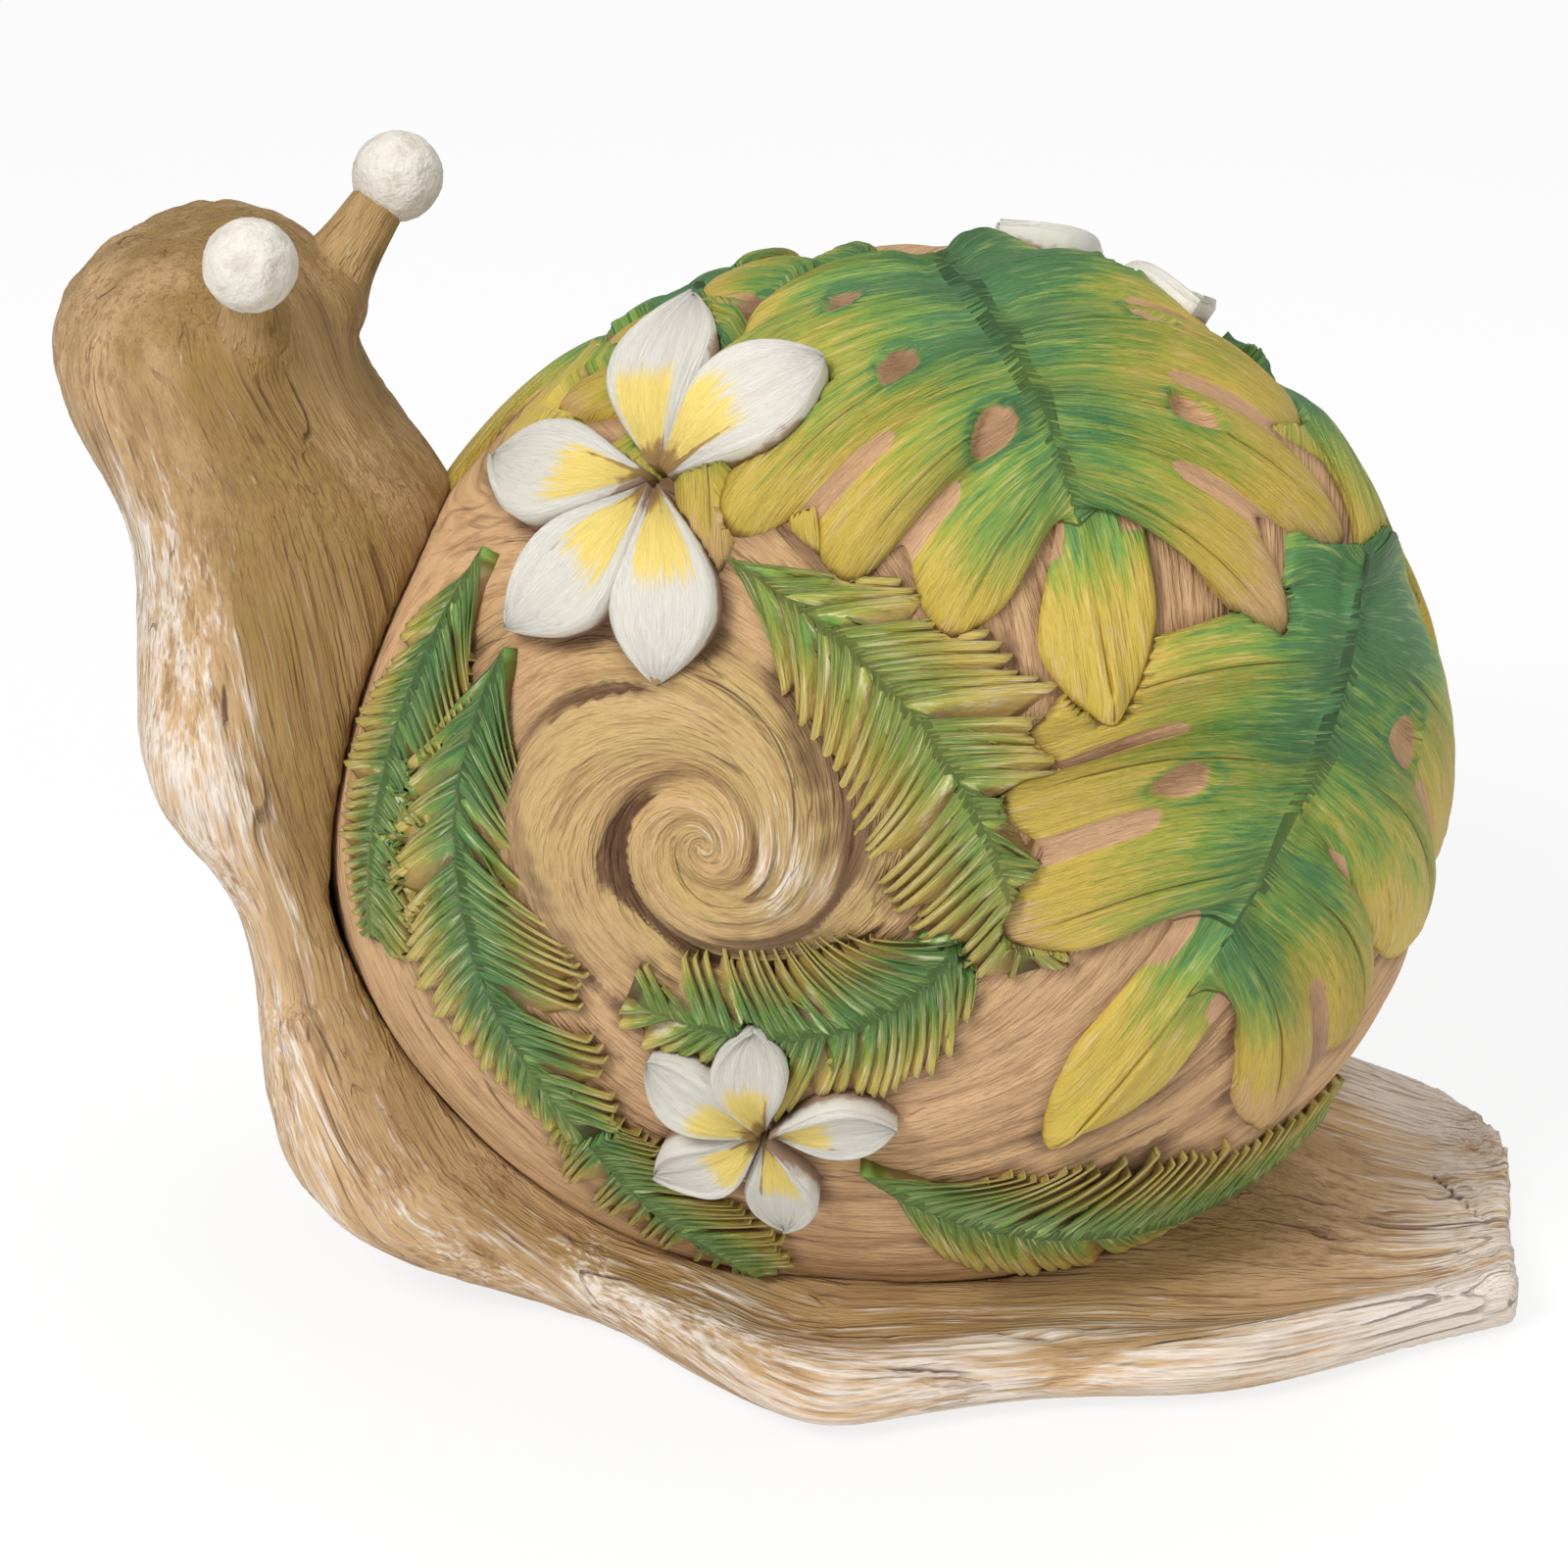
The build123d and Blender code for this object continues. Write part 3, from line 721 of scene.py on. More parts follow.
@dataclass
class Piece:
    """A mesh under way, with numbers painted on its points."""

    name: str
    mesh: bmesh.types.BMesh = field(default_factory=bmesh.new)

    def grid(self, columns: int, rows: int) -> tuple[np.ndarray, np.ndarray]:
        """Starts the mesh as a flat grid.

        Args:
            columns: Steps along X.
            rows: Steps along Y.

        Returns:
            The places of the points, from 0 to 1 each way.
        """
        bmesh.ops.create_grid(self.mesh, x_segments=columns, y_segments=rows, size=1.0)
        places = self.points()
        return (places[:, 0] + 1) / 2, (places[:, 1] + 1) / 2

    def points(self) -> np.ndarray:
        """Returns the mesh's points, one per row."""
        return np.array([vert.co for vert in self.mesh.verts])

    def move(self, points: np.ndarray) -> None:
        """Sets the mesh's points."""
        for vert, place in zip(self.mesh.verts, points.tolist()):
            vert.co = place

    def layer(self, name: str) -> bmesh.types.BMLayerItem:
        """Returns the number layer of a name."""
        layers = self.mesh.verts.layers.float
        return layers.get(name) or layers.new(name)

    def paint(self, **numbers: np.ndarray) -> None:
        """Paints numbers on the points."""
        for name, values in numbers.items():
            layer = self.layer(name)
            for vert, value in zip(self.mesh.verts, np.asarray(values, float).tolist()):
                vert[layer] = value

    def aim(self, vectors: np.ndarray) -> None:
        """Paints the grain's coordinates on the points."""
        layers = self.mesh.verts.layers.float_vector
        layer = layers.get("grain") or layers.new("grain")
        for vert, value in zip(self.mesh.verts, vectors.tolist()):
            vert[layer] = value

    def weld(self, gap: float) -> None:
        """Merges points closer than a gap."""
        bmesh.ops.remove_doubles(self.mesh, verts=self.mesh.verts, dist=gap)

    def skirt(self, drop: Callable[[np.ndarray], np.ndarray]) -> None:
        """Closes an open sheet with a wall and a floor, and paints shade on the wall's foot.

        Args:
            drop: Takes border points to the wall's foot.
        """
        border = [edge for edge in self.mesh.edges if edge.is_boundary]
        shade = self.layer("groove")
        made = bmesh.ops.extrude_edge_only(self.mesh, edges=border)["geom"]
        foot = [item for item in made if isinstance(item, bmesh.types.BMVert)]
        low = drop(np.array([vert.co for vert in foot]))
        for vert, place in zip(foot, low.tolist()):
            vert.co = place
            # The wall's foot, where it meets the shell, gets full groove darkness as painted shade.
            vert[shade] = 1.0
        rim = [edge for edge in self.mesh.edges if edge.is_boundary]
        bmesh.ops.holes_fill(self.mesh, edges=rim, sides=0)

    def make(self, paint: bpy.types.Material, slot: str, node: str) -> bpy.types.Object:
        """Turns the mesh into an object that stands for a node.

        Args:
            paint: Its material.
            slot: The record's material slot; not used.
            node: The node it stands for.

        Returns:
            The object.
        """
        bmesh.ops.recalc_face_normals(self.mesh, faces=self.mesh.faces)
        data = bpy.data.meshes.new(self.name)
        self.mesh.to_mesh(data)
        self.mesh.free()
        data.materials.append(paint)
        data.shade_smooth()
        made = placed(self.name, data)
        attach(made, "root")
        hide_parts(node)
        LOG.info("%s: %d faces", self.name, len(data.polygons))
        return made


@dataclass(frozen=True)
class Lens:
    """The photograph's camera."""

    azimuth: float = 5.0
    elevation: float = 30.0
    distance: float = 0.720
    target: tuple[float, float, float] = (0.0, 0.0, 0.090)
    target_pixel: tuple[float, float] = (880.0, 790.0)
    focal_pixels: float = 4400.0
    frame_pixels: float = 1600.0
    sensor: float = 36.0

    @property
    def back(self) -> Vector:
        """Direction from the target to the camera."""
        turn = math.radians(self.azimuth)
        rise = math.radians(self.elevation)
        return Vector((math.sin(turn) * math.cos(rise), -math.cos(turn) * math.cos(rise), math.sin(rise)))

    def ray(self, pixel: tuple[float, float]) -> tuple[Vector, Vector]:
        """Returns the line of sight through a pixel.

        Args:
            pixel: Place in the photograph.

        Returns:
            The camera's place and the direction.
        """
        right = Vector((0.0, 0.0, 1.0)).cross(self.back).normalized()
        up = self.back.cross(right)
        side = (pixel[0] - self.target_pixel[0]) / self.focal_pixels
        rise = (self.target_pixel[1] - pixel[1]) / self.focal_pixels
        place = Vector(self.target) + self.back * self.distance
        return place, (right * side + up * rise - self.back).normalized()

    def make(self) -> None:
        """Makes the scene's camera."""
        data = bpy.data.cameras.new("camera")
        data.sensor_width = self.sensor
        data.lens = self.focal_pixels / self.frame_pixels * self.sensor
        data.shift_x = 0.5 - self.target_pixel[0] / self.frame_pixels
        data.shift_y = self.target_pixel[1] / self.frame_pixels - 0.5
        data.clip_start = 0.01
        camera = placed("camera", data)
        camera.location = Vector(self.target) + self.back * self.distance
        camera.rotation_mode = "QUATERNION"
        camera.rotation_quaternion = (-self.back).to_track_quat("-Z", "Y")
        bpy.context.scene.camera = camera


@dataclass
class Body:
    """Foot, neck and head, carved like driftwood."""

    form: ShellForm
    lens: Lens
    voxel: float = 1.3 * MM
    spine: tuple[tuple[float, float], ...] = (
        (0.118, 0.004), (0.060, 0.006), (0.000, 0.007), (-0.040, 0.013), (-0.066, 0.030),
        (-0.082, 0.060), (-0.088, 0.090), (-0.092, 0.120), (-0.097, 0.145), (-0.106, 0.168), (-0.110, 0.190))
    crack_pixels: tuple[tuple[float, float, float, float], ...] = (
        (322, 1076, 430, 1168), (466, 1137, 510, 1183), (363, 1198, 475, 1264), (1349, 1275, 1483, 1322),
        (1349, 1205, 1432, 1243), (1448, 1184, 1521, 1247), (1100, 1358, 1307, 1385), (709, 1359, 797, 1397),
        (225, 690, 232, 760), (520, 1262, 600, 1290), (880, 1392, 1010, 1404), (250, 1120, 300, 1180))
    crack_depth: float = 1.3 * MM
    crack_width: float = 0.9 * MM
    crack_heights: tuple[float, float] = (3.0 * MM, 70.0 * MM)
    crack_margin: float = 6.0 * MM
    loose_cracks: int = 26
    tail_span: tuple[float, float] = (0.070, 0.108)
    neck_span: tuple[float, float] = (0.165, 0.215)
    crown_span: tuple[float, float] = (0.275, 0.310)
    head_span: tuple[float, float] = (0.305, 0.345)
    smoothing: int = 4
    weld_gap: float = 0.01 * MM
    plug: float = 8.9 * MM
    plug_sink: float = 5.4 * MM
    mound: float = 1.6 * MM
    mound_width: float = 12.0 * MM
    comb_width: float = 45.0 * MM
    least_half: float = 24.0 * MM

    def remeshed(self, node: bpy.types.Object) -> bmesh.types.BMesh:
        """Returns an even mesh of a node's solid.

        Args:
            node: The node's object, which stays as it is.

        Returns:
            The even mesh.
        """
        even = bmesh.new()
        even.from_mesh(node.data)
        bmesh.ops.remove_doubles(even, verts=even.verts, dist=self.weld_gap)
        for root, ball in EYE_PLACES.values():
            middle = Vector(root) - (Vector(ball) - Vector(root)).normalized() * self.plug_sink
            bmesh.ops.create_icosphere(even, subdivisions=3, radius=self.plug,
                                       matrix=Matrix.Translation(middle))
        data = bpy.data.meshes.new("body_even")
        even.to_mesh(data)
        even.free()
        holder = placed("body_even", data)
        change = holder.modifiers.new("even", "REMESH")
        change.mode = "VOXEL"
        change.voxel_size = self.voxel
        solved = holder.evaluated_get(bpy.context.evaluated_depsgraph_get())
        result = bmesh.new()
        result.from_mesh(solved.to_mesh())
        solved.to_mesh_clear()
        bpy.data.objects.remove(holder)
        bpy.data.meshes.remove(data)
        for _ in range(self.smoothing):
            bmesh.ops.smooth_vert(result, verts=result.verts, factor=0.5, use_axis_x=True,
                                  use_axis_y=True, use_axis_z=True)
        return result

    def straightened(self, points: np.ndarray) -> np.ndarray:
        """Returns each point's place along the spine, across it and above it.

        Args:
            points: Points, one per row.

        Returns:
            Along, across and above, in metres.
        """
        line = np.array(self.spine)
        flat = points[:, [0, 2]]
        best = np.full(len(points), np.inf)
        along = np.zeros(len(points))
        above = np.zeros(len(points))
        travelled = 0.0
        for start, end in zip(line[:-1], line[1:]):
            run = end - start
            size = float(np.linalg.norm(run))
            ahead = run / size
            share = np.clip((flat - start) @ ahead, 0.0, size)
            gap = flat - (start + share[:, None] * ahead)
            away = np.linalg.norm(gap, axis=1)
            nearer = away < best
            best = np.where(nearer, away, best)
            along = np.where(nearer, travelled + share, along)
            sign = np.sign(gap @ np.array([-ahead[1], ahead[0]])) * -1.0
            above = np.where(nearer, away * sign, above)
            travelled += size
        return np.stack([along, points[:, 1], above], axis=1)

    def half_widths(self, straight: np.ndarray) -> np.ndarray:
        """Returns the body's half width at each point's place along the spine.

        Args:
            straight: Straightened places.

        Returns:
            Half widths, evened out along the spine.
        """
        step = 4 * MM
        bins = (straight[:, 0] / step).astype(int)
        widest = np.full(bins.max() + 1, self.least_half)
        np.maximum.at(widest, bins, np.abs(straight[:, 1]))
        even = np.convolve(np.pad(widest, 2, mode="edge"), np.full(5, 0.2), mode="valid")
        return np.interp(straight[:, 0], (np.arange(len(even)) + 0.5) * step, even)

    def cracks(self, points: np.ndarray, straight: np.ndarray,
               tree: BVHTree) -> list[tuple[np.ndarray, np.ndarray]]:
        """Returns the ends of each crack.

        Args:
            points: The body's points.
            straight: Their straightened places.
            tree: The body's faces, for lines of sight.

        Returns:
            Pairs of ends on the surface.
        """
        ends = []
        for left, top, right, low in self.crack_pixels:
            first = tree.ray_cast(*self.lens.ray((left, top)))[0]
            second = tree.ray_cast(*self.lens.ray((right, low)))[0]
            if first is not None and second is not None:
                ends.append((np.array(first), np.array(second)))
        chance = random.Random(SEED)
        lowest, highest = self.crack_heights
        shown = np.flatnonzero((points[:, 2] > lowest) & (points[:, 2] < highest)
                               & (self.form.distance(points) > self.crack_margin))
        for _ in range(self.loose_cracks):
            start = int(shown[chance.randrange(len(shown))])
            reach = chance.uniform(8, 22) * MM
            goal = straight[start] + np.array([reach, chance.uniform(-1.5, 1.5) * MM, 0.0])
            end = int(np.argmin(np.linalg.norm(straight - goal, axis=1)))
            ends.append((points[start], points[end]))
        return ends

    def make(self, node: bpy.types.Object, paint: bpy.types.Material) -> None:
        """Makes the carved body.

        Args:
            node: The solid it stands for.
            paint: Its wood paint.
        """
        piece = Piece("body", self.remeshed(node))
        points = piece.points()
        straight = self.straightened(points)
        tree = BVHTree.FromBMesh(piece.mesh)
        piece.mesh.normal_update()
        normals = np.array([vert.normal for vert in piece.mesh.verts])
        deep = np.zeros(len(points))
        for first, second in self.cracks(points, straight, tree):
            run = second - first
            share = np.clip((points - first) @ run / max(float(run @ run), 1e-9), 0.0, 1.0)
            away = np.linalg.norm(points - (first + share[:, None] * run), axis=1)
            fade = np.sqrt(np.clip(4 * share * (1 - share), 0, 1))
            deep = np.maximum(deep, bell(away, self.crack_width) * fade)
        half = self.half_widths(straight)
        combed = np.stack([straight[:, 0], straight[:, 1] / half * self.comb_width, straight[:, 2]], axis=1)
        broad = grain(combed, (24.0, 110.0, 110.0))
        ridge = grain(combed, (34.0, 330.0, 330.0), 7.0)
        pits = grain(points, (420.0, 420.0, 420.0), 3.0)
        gap = self.form.distance(points)
        shown = smooth(0.2 * MM, 3.0 * MM, gap) * smooth(0.2 * MM, 2.5 * MM, points[:, 2])
        lift = (0.55 * broad + 0.55 * ridge - 0.30 * smooth(0.35, 0.75, pits)) * MM - deep * self.crack_depth
        carved = points
        for root, ball in np.array(list(EYE_PLACES.values())):
            near = bell(np.linalg.norm(points - root, axis=1), self.mound_width)
            shown = shown * (1 - 0.85 * near)
            carved = carved + unit(ball - root) * (self.mound * near)[:, None]
        carved = carved + normals * (lift * shown)[:, None]
        piece.move(carved)
        rim = np.abs(points[:, 1]) / half
        neck = smooth(*self.neck_span, straight[:, 0])
        front = 1.0 - smooth(-16 * MM, 2 * MM, straight[:, 2])
        head = smooth(*self.head_span, straight[:, 0])
        patchy = 0.95 + 0.35 * grain(points, (28.0, 28.0, 28.0), 6.0)
        bend = bell(straight[:, 0] - 0.200, 0.03)
        foot_brush = smooth(0.50, 0.95, rim) * 0.66 * patchy
        tail = smooth(*self.tail_span, points[:, 0]) * 0.82 * patchy
        neck_brush = front * 0.62 * (1 - 0.45 * head) * patchy
        brush = np.maximum(foot_brush + tail, neck_brush * neck)
        brush = brush * (1 - 0.75 * neck * (1 - front)) * (1 - 0.6 * head)
        brush = brush * (1 - 0.4 * bend) - 0.10 + 0.25 * ridge * smooth(0.05, 0.3, brush)
        # Painted shade: olive darkening on the foot in the crease next to the shell.
        junction_shade = bell(gap - 6 * MM, 9 * MM) * (1 - neck)
        crown = smooth(*self.crown_span, straight[:, 0]) * 0.5
        wash = np.clip(np.maximum(neck * (1 - front) * 0.95, junction_shade * 0.8) + crown, 0, 1)
        piece.aim(combed)
        # Groove darkness: the grain's troughs, plus painted shade right along the join with the shell.
        groove = smooth(0.05, 0.75, -ridge) * 0.4 + bell(gap, 2.2 * MM) * 0.2
        piece.paint(wash=wash, brush=brush, crack=deep, groove=groove)
        piece.make(paint, "body_resin", "body_casting")


@dataclass
class Shell:
    """The round shell with its raised coil and carved swirl."""

    form: ShellForm
    segments: int = 392
    rings: int = 236
    coil_x: float = -18.5 * MM
    coil_z: float = 112.0 * MM
    coil_radius: float = 25.0 * MM
    coil_step: float = 0.36
    coil_start: float = -150.0
    coil_height: float = 6.0 * MM
    coil_dome: float = 1.0 * MM
    grain_pitch: float = 0.35
    grain_share: float = 0.45
    # Width of the painted shade along the edges of the pieces that lie on the shell.
    edge_shade_width: float = 2.6 * MM
    bulb_shift: float = 12.0 * MM
    bulb_radius: float = 10.0 * MM
    bulb_rise: float = 6.0 * MM

    def swirl(self, points: np.ndarray) -> tuple[np.ndarray, np.ndarray, np.ndarray, np.ndarray]:
        """Returns the coil's coordinates of points.

        Args:
            points: Points, one per row.

        Returns:
            Distance from the coil's centre, the strand's angle on the spiral, turns from the spiral's
            start, and offset from its ridge, from -0.5 to 0.5.
        """
        x = points[:, 0] - self.coil_x
        z = points[:, 2] - self.coil_z
        reach = np.maximum(np.hypot(x, z), 1.0 * MM)
        angle = np.arctan2(z, x)
        depth = np.log(reach / self.coil_radius) / math.log(self.coil_step)
        around = (math.radians(self.coil_start) - angle) / (2 * math.pi)
        turns = around + np.round(depth - around)
        strand = np.log(reach / self.coil_radius) / self.grain_pitch - angle
        return reach, strand, turns, depth - turns

    def make(self, paint: bpy.types.Material, covers: list[Cover]) -> None:
        """Makes the shell.

        Args:
            paint: Its wood paint.
            covers: The pieces that lie on it, along whose edges the shell gets painted shade.
        """
        piece = Piece("shell")
        bmesh.ops.create_uvsphere(piece.mesh, u_segments=self.segments, v_segments=self.rings, radius=1.0)
        ball = piece.points()
        rays = unit(np.stack([ball[:, 0], ball[:, 2], -ball[:, 1]], axis=1))
        start = self.form.centre + rays * self.form.round_form.half_depth
        points = self.form.drop_along(start, rays)
        normals = self.form.normals(points)
        # Painted shade on the shell along the edges of the pieces lying on it, where they meet it.
        edge_shade = bell(edge_gaps(covers, points), self.edge_shade_width)
        reach, strand, turns, offset = self.swirl(points)
        inner = 1.0 - smooth(0.95, 1.5, reach / self.coil_radius)
        flat = smooth(0.35, 0.8, np.abs(normals[:, 1]))
        begun = smooth(-0.12, 0.08, turns)
        ridge = np.clip(np.cos(math.pi * offset), 0.0, 1.0) ** 1.2
        from_bulb = np.hypot(points[:, 0] - self.coil_x - self.bulb_shift, points[:, 2] - self.coil_z)
        thick = self.coil_height * np.clip(reach / self.coil_radius, 0.0, 1.2) ** 0.8
        coil = inner * flat * (thick * ridge * begun
                               + self.coil_dome * bell(reach, self.coil_radius)
                               + self.bulb_rise * bell(from_bulb, self.bulb_radius))
        spread = self.grain_share * reach
        swirl = np.stack([points[:, 1] * 0.2, np.cos(strand) * spread, np.sin(strand) * spread], axis=1)
        broad = grain(swirl, (30.0, 150.0, 150.0))
        fine = grain(swirl, (50.0, 330.0, 330.0), 5.0)
        split = smooth(0.38, 0.54, grain(swirl, (60.0, 210.0, 210.0), 9.0))
        calm = 0.55 + 0.45 * inner
        fine = fine * calm
        lift = coil + (0.65 * broad + 0.55 * fine) * MM - split * calm * 0.9 * MM
        points = points + normals * lift[:, None]
        points[:, 2] = np.maximum(points[:, 2], self.form.seat_z + 0.2 * MM)
        piece.move(points)
        valley = inner * flat * smooth(0.34, 0.5, np.abs(offset)) * begun
        piece.aim(swirl)
        light = bell(from_bulb, 1.2 * self.bulb_radius) * flat
        # Groove darkness: the coil's valleys, the grain and the splits, plus the painted shade along the
        # pieces' edges.
        groove = valley * 0.55 + smooth(0.0, 0.7, -fine) * 0.5 + split * 0.4 + edge_shade * 0.55
        piece.paint(wash=np.clip(inner * flat * 0.8 + 0.15 + 0.25 * broad, 0, 1),
                    brush=light * 0.62 - 0.12,
                    crack=np.clip(split * inner * flat * 0.8, 0, 1),
                    groove=np.clip(groove, 0, 1))
        piece.make(paint, "shell_resin", "shell_casting")


@dataclass(frozen=True)
class Lobes:
    """One split leaf's outline: rib share, then along and across, tips and notches by turns."""

    left: tuple[tuple[float, float, float], ...]
    right: tuple[tuple[float, float, float], ...]
    holes: tuple[tuple[float, float, float], ...]


GENERIC_LOBES = Lobes(
    left=((0.02, -0.03, 0.45), (0.05, 0.1, 0.55), (0.12, 0.26, 0.92), (0.24, 0.33, 0.6), (0.34, 0.56, 0.98),
          (0.44, 0.52, 0.42), (0.52, 0.78, 0.74), (0.66, 0.68, 0.14)),
    right=((0.02, -0.03, 0.45), (0.05, 0.1, 0.55), (0.12, 0.28, 0.94), (0.24, 0.36, 0.58), (0.36, 0.6, 0.96),
           (0.46, 0.56, 0.36), (0.56, 0.84, 0.66), (0.7, 0.72, 0.16)),
    holes=((0.3, -0.34, 1.0), (0.22, 0.36, 0.9), (0.5, 0.22, 0.8), (0.46, -0.24, 0.8)),
)
TOP_LOBES = Lobes(
    left=((0.02, -0.05, 0.5), (0.06, 0.04, 0.72), (0.12, 0.16, 1.04), (0.2, 0.26, 0.86), (0.26, 0.46, 0.98),
          (0.34, 0.47, 0.74), (0.4, 0.63, 0.72), (0.46, 0.6, 0.52), (0.54, 0.8, 0.44), (0.66, 0.64, 0.06)),
    right=((0.02, -0.05, 0.5), (0.06, 0.05, 0.7), (0.1, 0.2, 1.02), (0.18, 0.3, 0.84), (0.24, 0.47, 1.06),
           (0.32, 0.52, 0.82), (0.38, 0.76, 0.98), (0.48, 0.7, 0.62), (0.56, 0.93, 0.62), (0.66, 0.62, 0.24)),
    holes=((0.25, -0.35, 1.0), (0.44, -0.17, 1.1), (0.49, 0.49, 1.0), (0.05, -0.36, 0.9), (0.26, 0.51, 0.9),
           (0.1, 0.62, 0.7)),
)
REAR_LOBES = Lobes(
    left=((0.02, -0.03, 0.24), (0.05, 0.1, 0.34), (0.14, 0.43, 0.92), (0.24, 0.47, 0.78), (0.3, 0.55, 0.9),
          (0.38, 0.6, 0.7), (0.46, 0.75, 0.64), (0.58, 0.61, 0.19)),
    right=((0.02, -0.03, 0.34), (0.06, 0.06, 0.62), (0.12, 0.36, 1.06), (0.2, 0.42, 0.88), (0.28, 0.52, 1.04),
           (0.38, 0.47, 0.34), (0.46, 0.68, 0.86), (0.54, 0.73, 0.74), (0.58, 0.88, 0.76), (0.7, 0.69, 0.2)),
    holes=((0.41, -0.43, 1.1), (0.23, 0.38, 1.1)),
)


@dataclass(frozen=True)
class SplitLeaf:
    """A broad split leaf with puffed lobes, veins and holes."""

    node: str
    row: tuple[float, float, float, float, float, float]
    width: float
    side: Side
    lobes: Lobes = GENERIC_LOBES
    half_width: float = 49.0 * MM
    tip_half: float = 0.19
    shoulder: float = 0.38
    fullness: float = 0.12
    cut_start: float = 0.62
    stroke_length: float = 14.0 * MM
    stroke_width: float = 6.8 * MM
    hole_long: float = 4.6 * MM
    hole_wide: float = 2.7 * MM
    weld_gap: float = 0.12 * MM
    columns: int = 620
    rows: int = 32
    thickness: float = 3.3 * MM

    def stations(self, length: float) -> tuple[np.ndarray, np.ndarray]:
        """Returns the outline's guide points and their lobe phase.

        Args:
            length: Length of the leaf.

        Returns:
            Rows of rib share, along and across, and for each row the phase: 0 at a cut, 1 at a tip.
        """
        left = [(rib, along, -across) for rib, along, across in self.lobes.left]
        right = [(rib, along, across) for rib, along, across in self.lobes.right[::-1]]
        tip = [(0.80, 0.87, -self.tip_half), (0.97, 1.03, 0.0), (0.80, 0.87, self.tip_half)]
        ring = np.array([(0.0, 0.0, 0.0)] + left + tip + right + [(0.0, 0.0, 0.0)])
        kinds = [0.0] + [1.0, 0.0] * (len(left) // 2) + [0.7, 1.0, 0.7]
        kinds += [0.0, 1.0] * (len(right) // 2) + [0.0]
        size = np.array([1.0, length, self.half_width * self.width])
        rows = [ring[0]]
        phase = [0.0]
        for start, end, first, second in zip(ring[:-1], ring[1:], kinds[:-1], kinds[1:]):
            if first + second == 1.0:
                share = self.shoulder if first == 1.0 else 1.0 - self.shoulder
                run = (end - start) * size
                push = np.array([0.0, run[2], -run[1]]) * self.fullness
                rows.append(start + (end - start) * share + push / size)
                phase.append(0.75)
            rows.append(end)
            phase.append(second)
        return np.array(rows), np.array(phase)

    def make(self, form: ShellForm, paint: bpy.types.Material, covers: list[Cover]) -> None:
        """Makes the leaf.

        Args:
            form: The shell it lies on.
            paint: Its leaf paint.
            covers: The upper pieces, to which the leaf is added.
        """
        bed = LeafBed.along(form, self.row, self.side)
        piece = Piece(self.node + "_carved")
        turn, out = piece.grid(self.columns, self.rows)
        rows, phases = self.stations(bed.length)
        guide = turn * (len(rows) - 1)
        edge = curve_through(rows, guide)
        phase = curve_through(phases[:, None], guide)[:, 0]
        tips = np.flatnonzero(phases == 1.0)
        from_tip = np.min(np.abs(guide[:, None] - tips[None, :]), axis=1)
        half = self.half_width * self.width
        rib_along = np.clip(edge[:, 0], 0.0, 0.985)
        share = out**0.85
        along = rib_along + (edge[:, 1] - rib_along) * share
        sweep = 0.06 * np.sin(math.pi * out) * np.clip(np.abs(edge[:, 2]), 0, 1)
        along = along - sweep
        across = edge[:, 2] * share * half
        flat = bed.flat(along, across)
        away = np.abs(across)
        puff = np.clip(phase, 0, 1) ** 1.3
        from_rib = np.hypot((along - rib_along) * bed.length, across)
        coords = np.stack([from_rib / self.stroke_length, turn * 60.0, np.zeros_like(out)], axis=1)
        tip = int(np.argmax(rows[:, 1]))
        cuts = np.flatnonzero(phases == 0.0)
        in_tip = (guide > cuts[cuts < tip].max()) & (guide < cuts[cuts > tip].min())
        lengthwise = np.stack([along * bed.length / self.stroke_length, 200.0 + across / self.stroke_width,
                               np.zeros_like(out)], axis=1)
        coords = np.where(in_tip[:, None], lengthwise, coords)
        vein = grain(coords, (1.2, 2.6, 1.0), 2.0) * smooth(0.04, 0.3, out)
        round_off = np.sin(math.pi * np.clip(out, 0, 1) ** 0.7) ** 0.6
        height = self.thickness * (0.26 + 0.76 * puff * round_off + 0.22 * (1 - smooth(0.0, 0.5, out)))
        height += 0.95 * MM * bell(away, 1.4 * MM) * (1 - 0.6 * along)
        height -= 0.55 * MM * bell(away - 3.2 * MM, 1.6 * MM)
        fold = bell(from_tip, 0.07) * smooth(0.06, 0.3, out) * (1 - smooth(0.75, 0.95, out))
        height += 0.30 * MM * vein - 0.60 * MM * fold
        height -= 0.7 * MM * smooth(0.9, 1.0, out)
        hole = np.zeros_like(out)
        lip = np.zeros_like(out)
        for hole_along, hole_across, size in self.lobes.holes:
            middle = bed.flat(np.array([hole_along]), np.array([hole_across * half]))[0]
            aim = np.array([0.62, 0.78 * np.sign(hole_across)])
            gap = flat - middle
            long = gap @ aim
            wide = gap @ np.array([-aim[1], aim[0]])
            skew = 1 + 0.25 * np.tanh(long / (3 * MM))
            ring = np.hypot(long / (self.hole_long * size), wide / (self.hole_wide * size) * skew)
            hole = np.maximum(hole, 1 - smooth(0.78, 1.02, ring))
            lip = np.maximum(lip, bell(ring - 1.20, 0.17))
        height += 0.45 * MM * lip
        cut = np.hypot(phase / 0.22, np.maximum(self.cut_start - out, 0.0) / 0.07)
        hole = np.maximum(hole, (1 - smooth(0.72, 1.05, cut)) * smooth(0.10, 0.16, along))
        height = height * (1 - hole) + 0.55 * MM * hole
        piece.move(bed.lay(flat, sunk(covers, bed, flat, height)))
        covers.append(Cover.around(bed, flat, turn, out))
        reach = np.clip(away / half, 0, 1)
        tone = 0.30 + 0.47 * smooth(0.05, 0.62, reach)
        tone += 0.34 * smooth(0.55, 1.0, out) * smooth(0.2, 0.7, reach)
        tone += 0.34 * grain(coords, (0.1, 0.2, 1.0), 5.0)
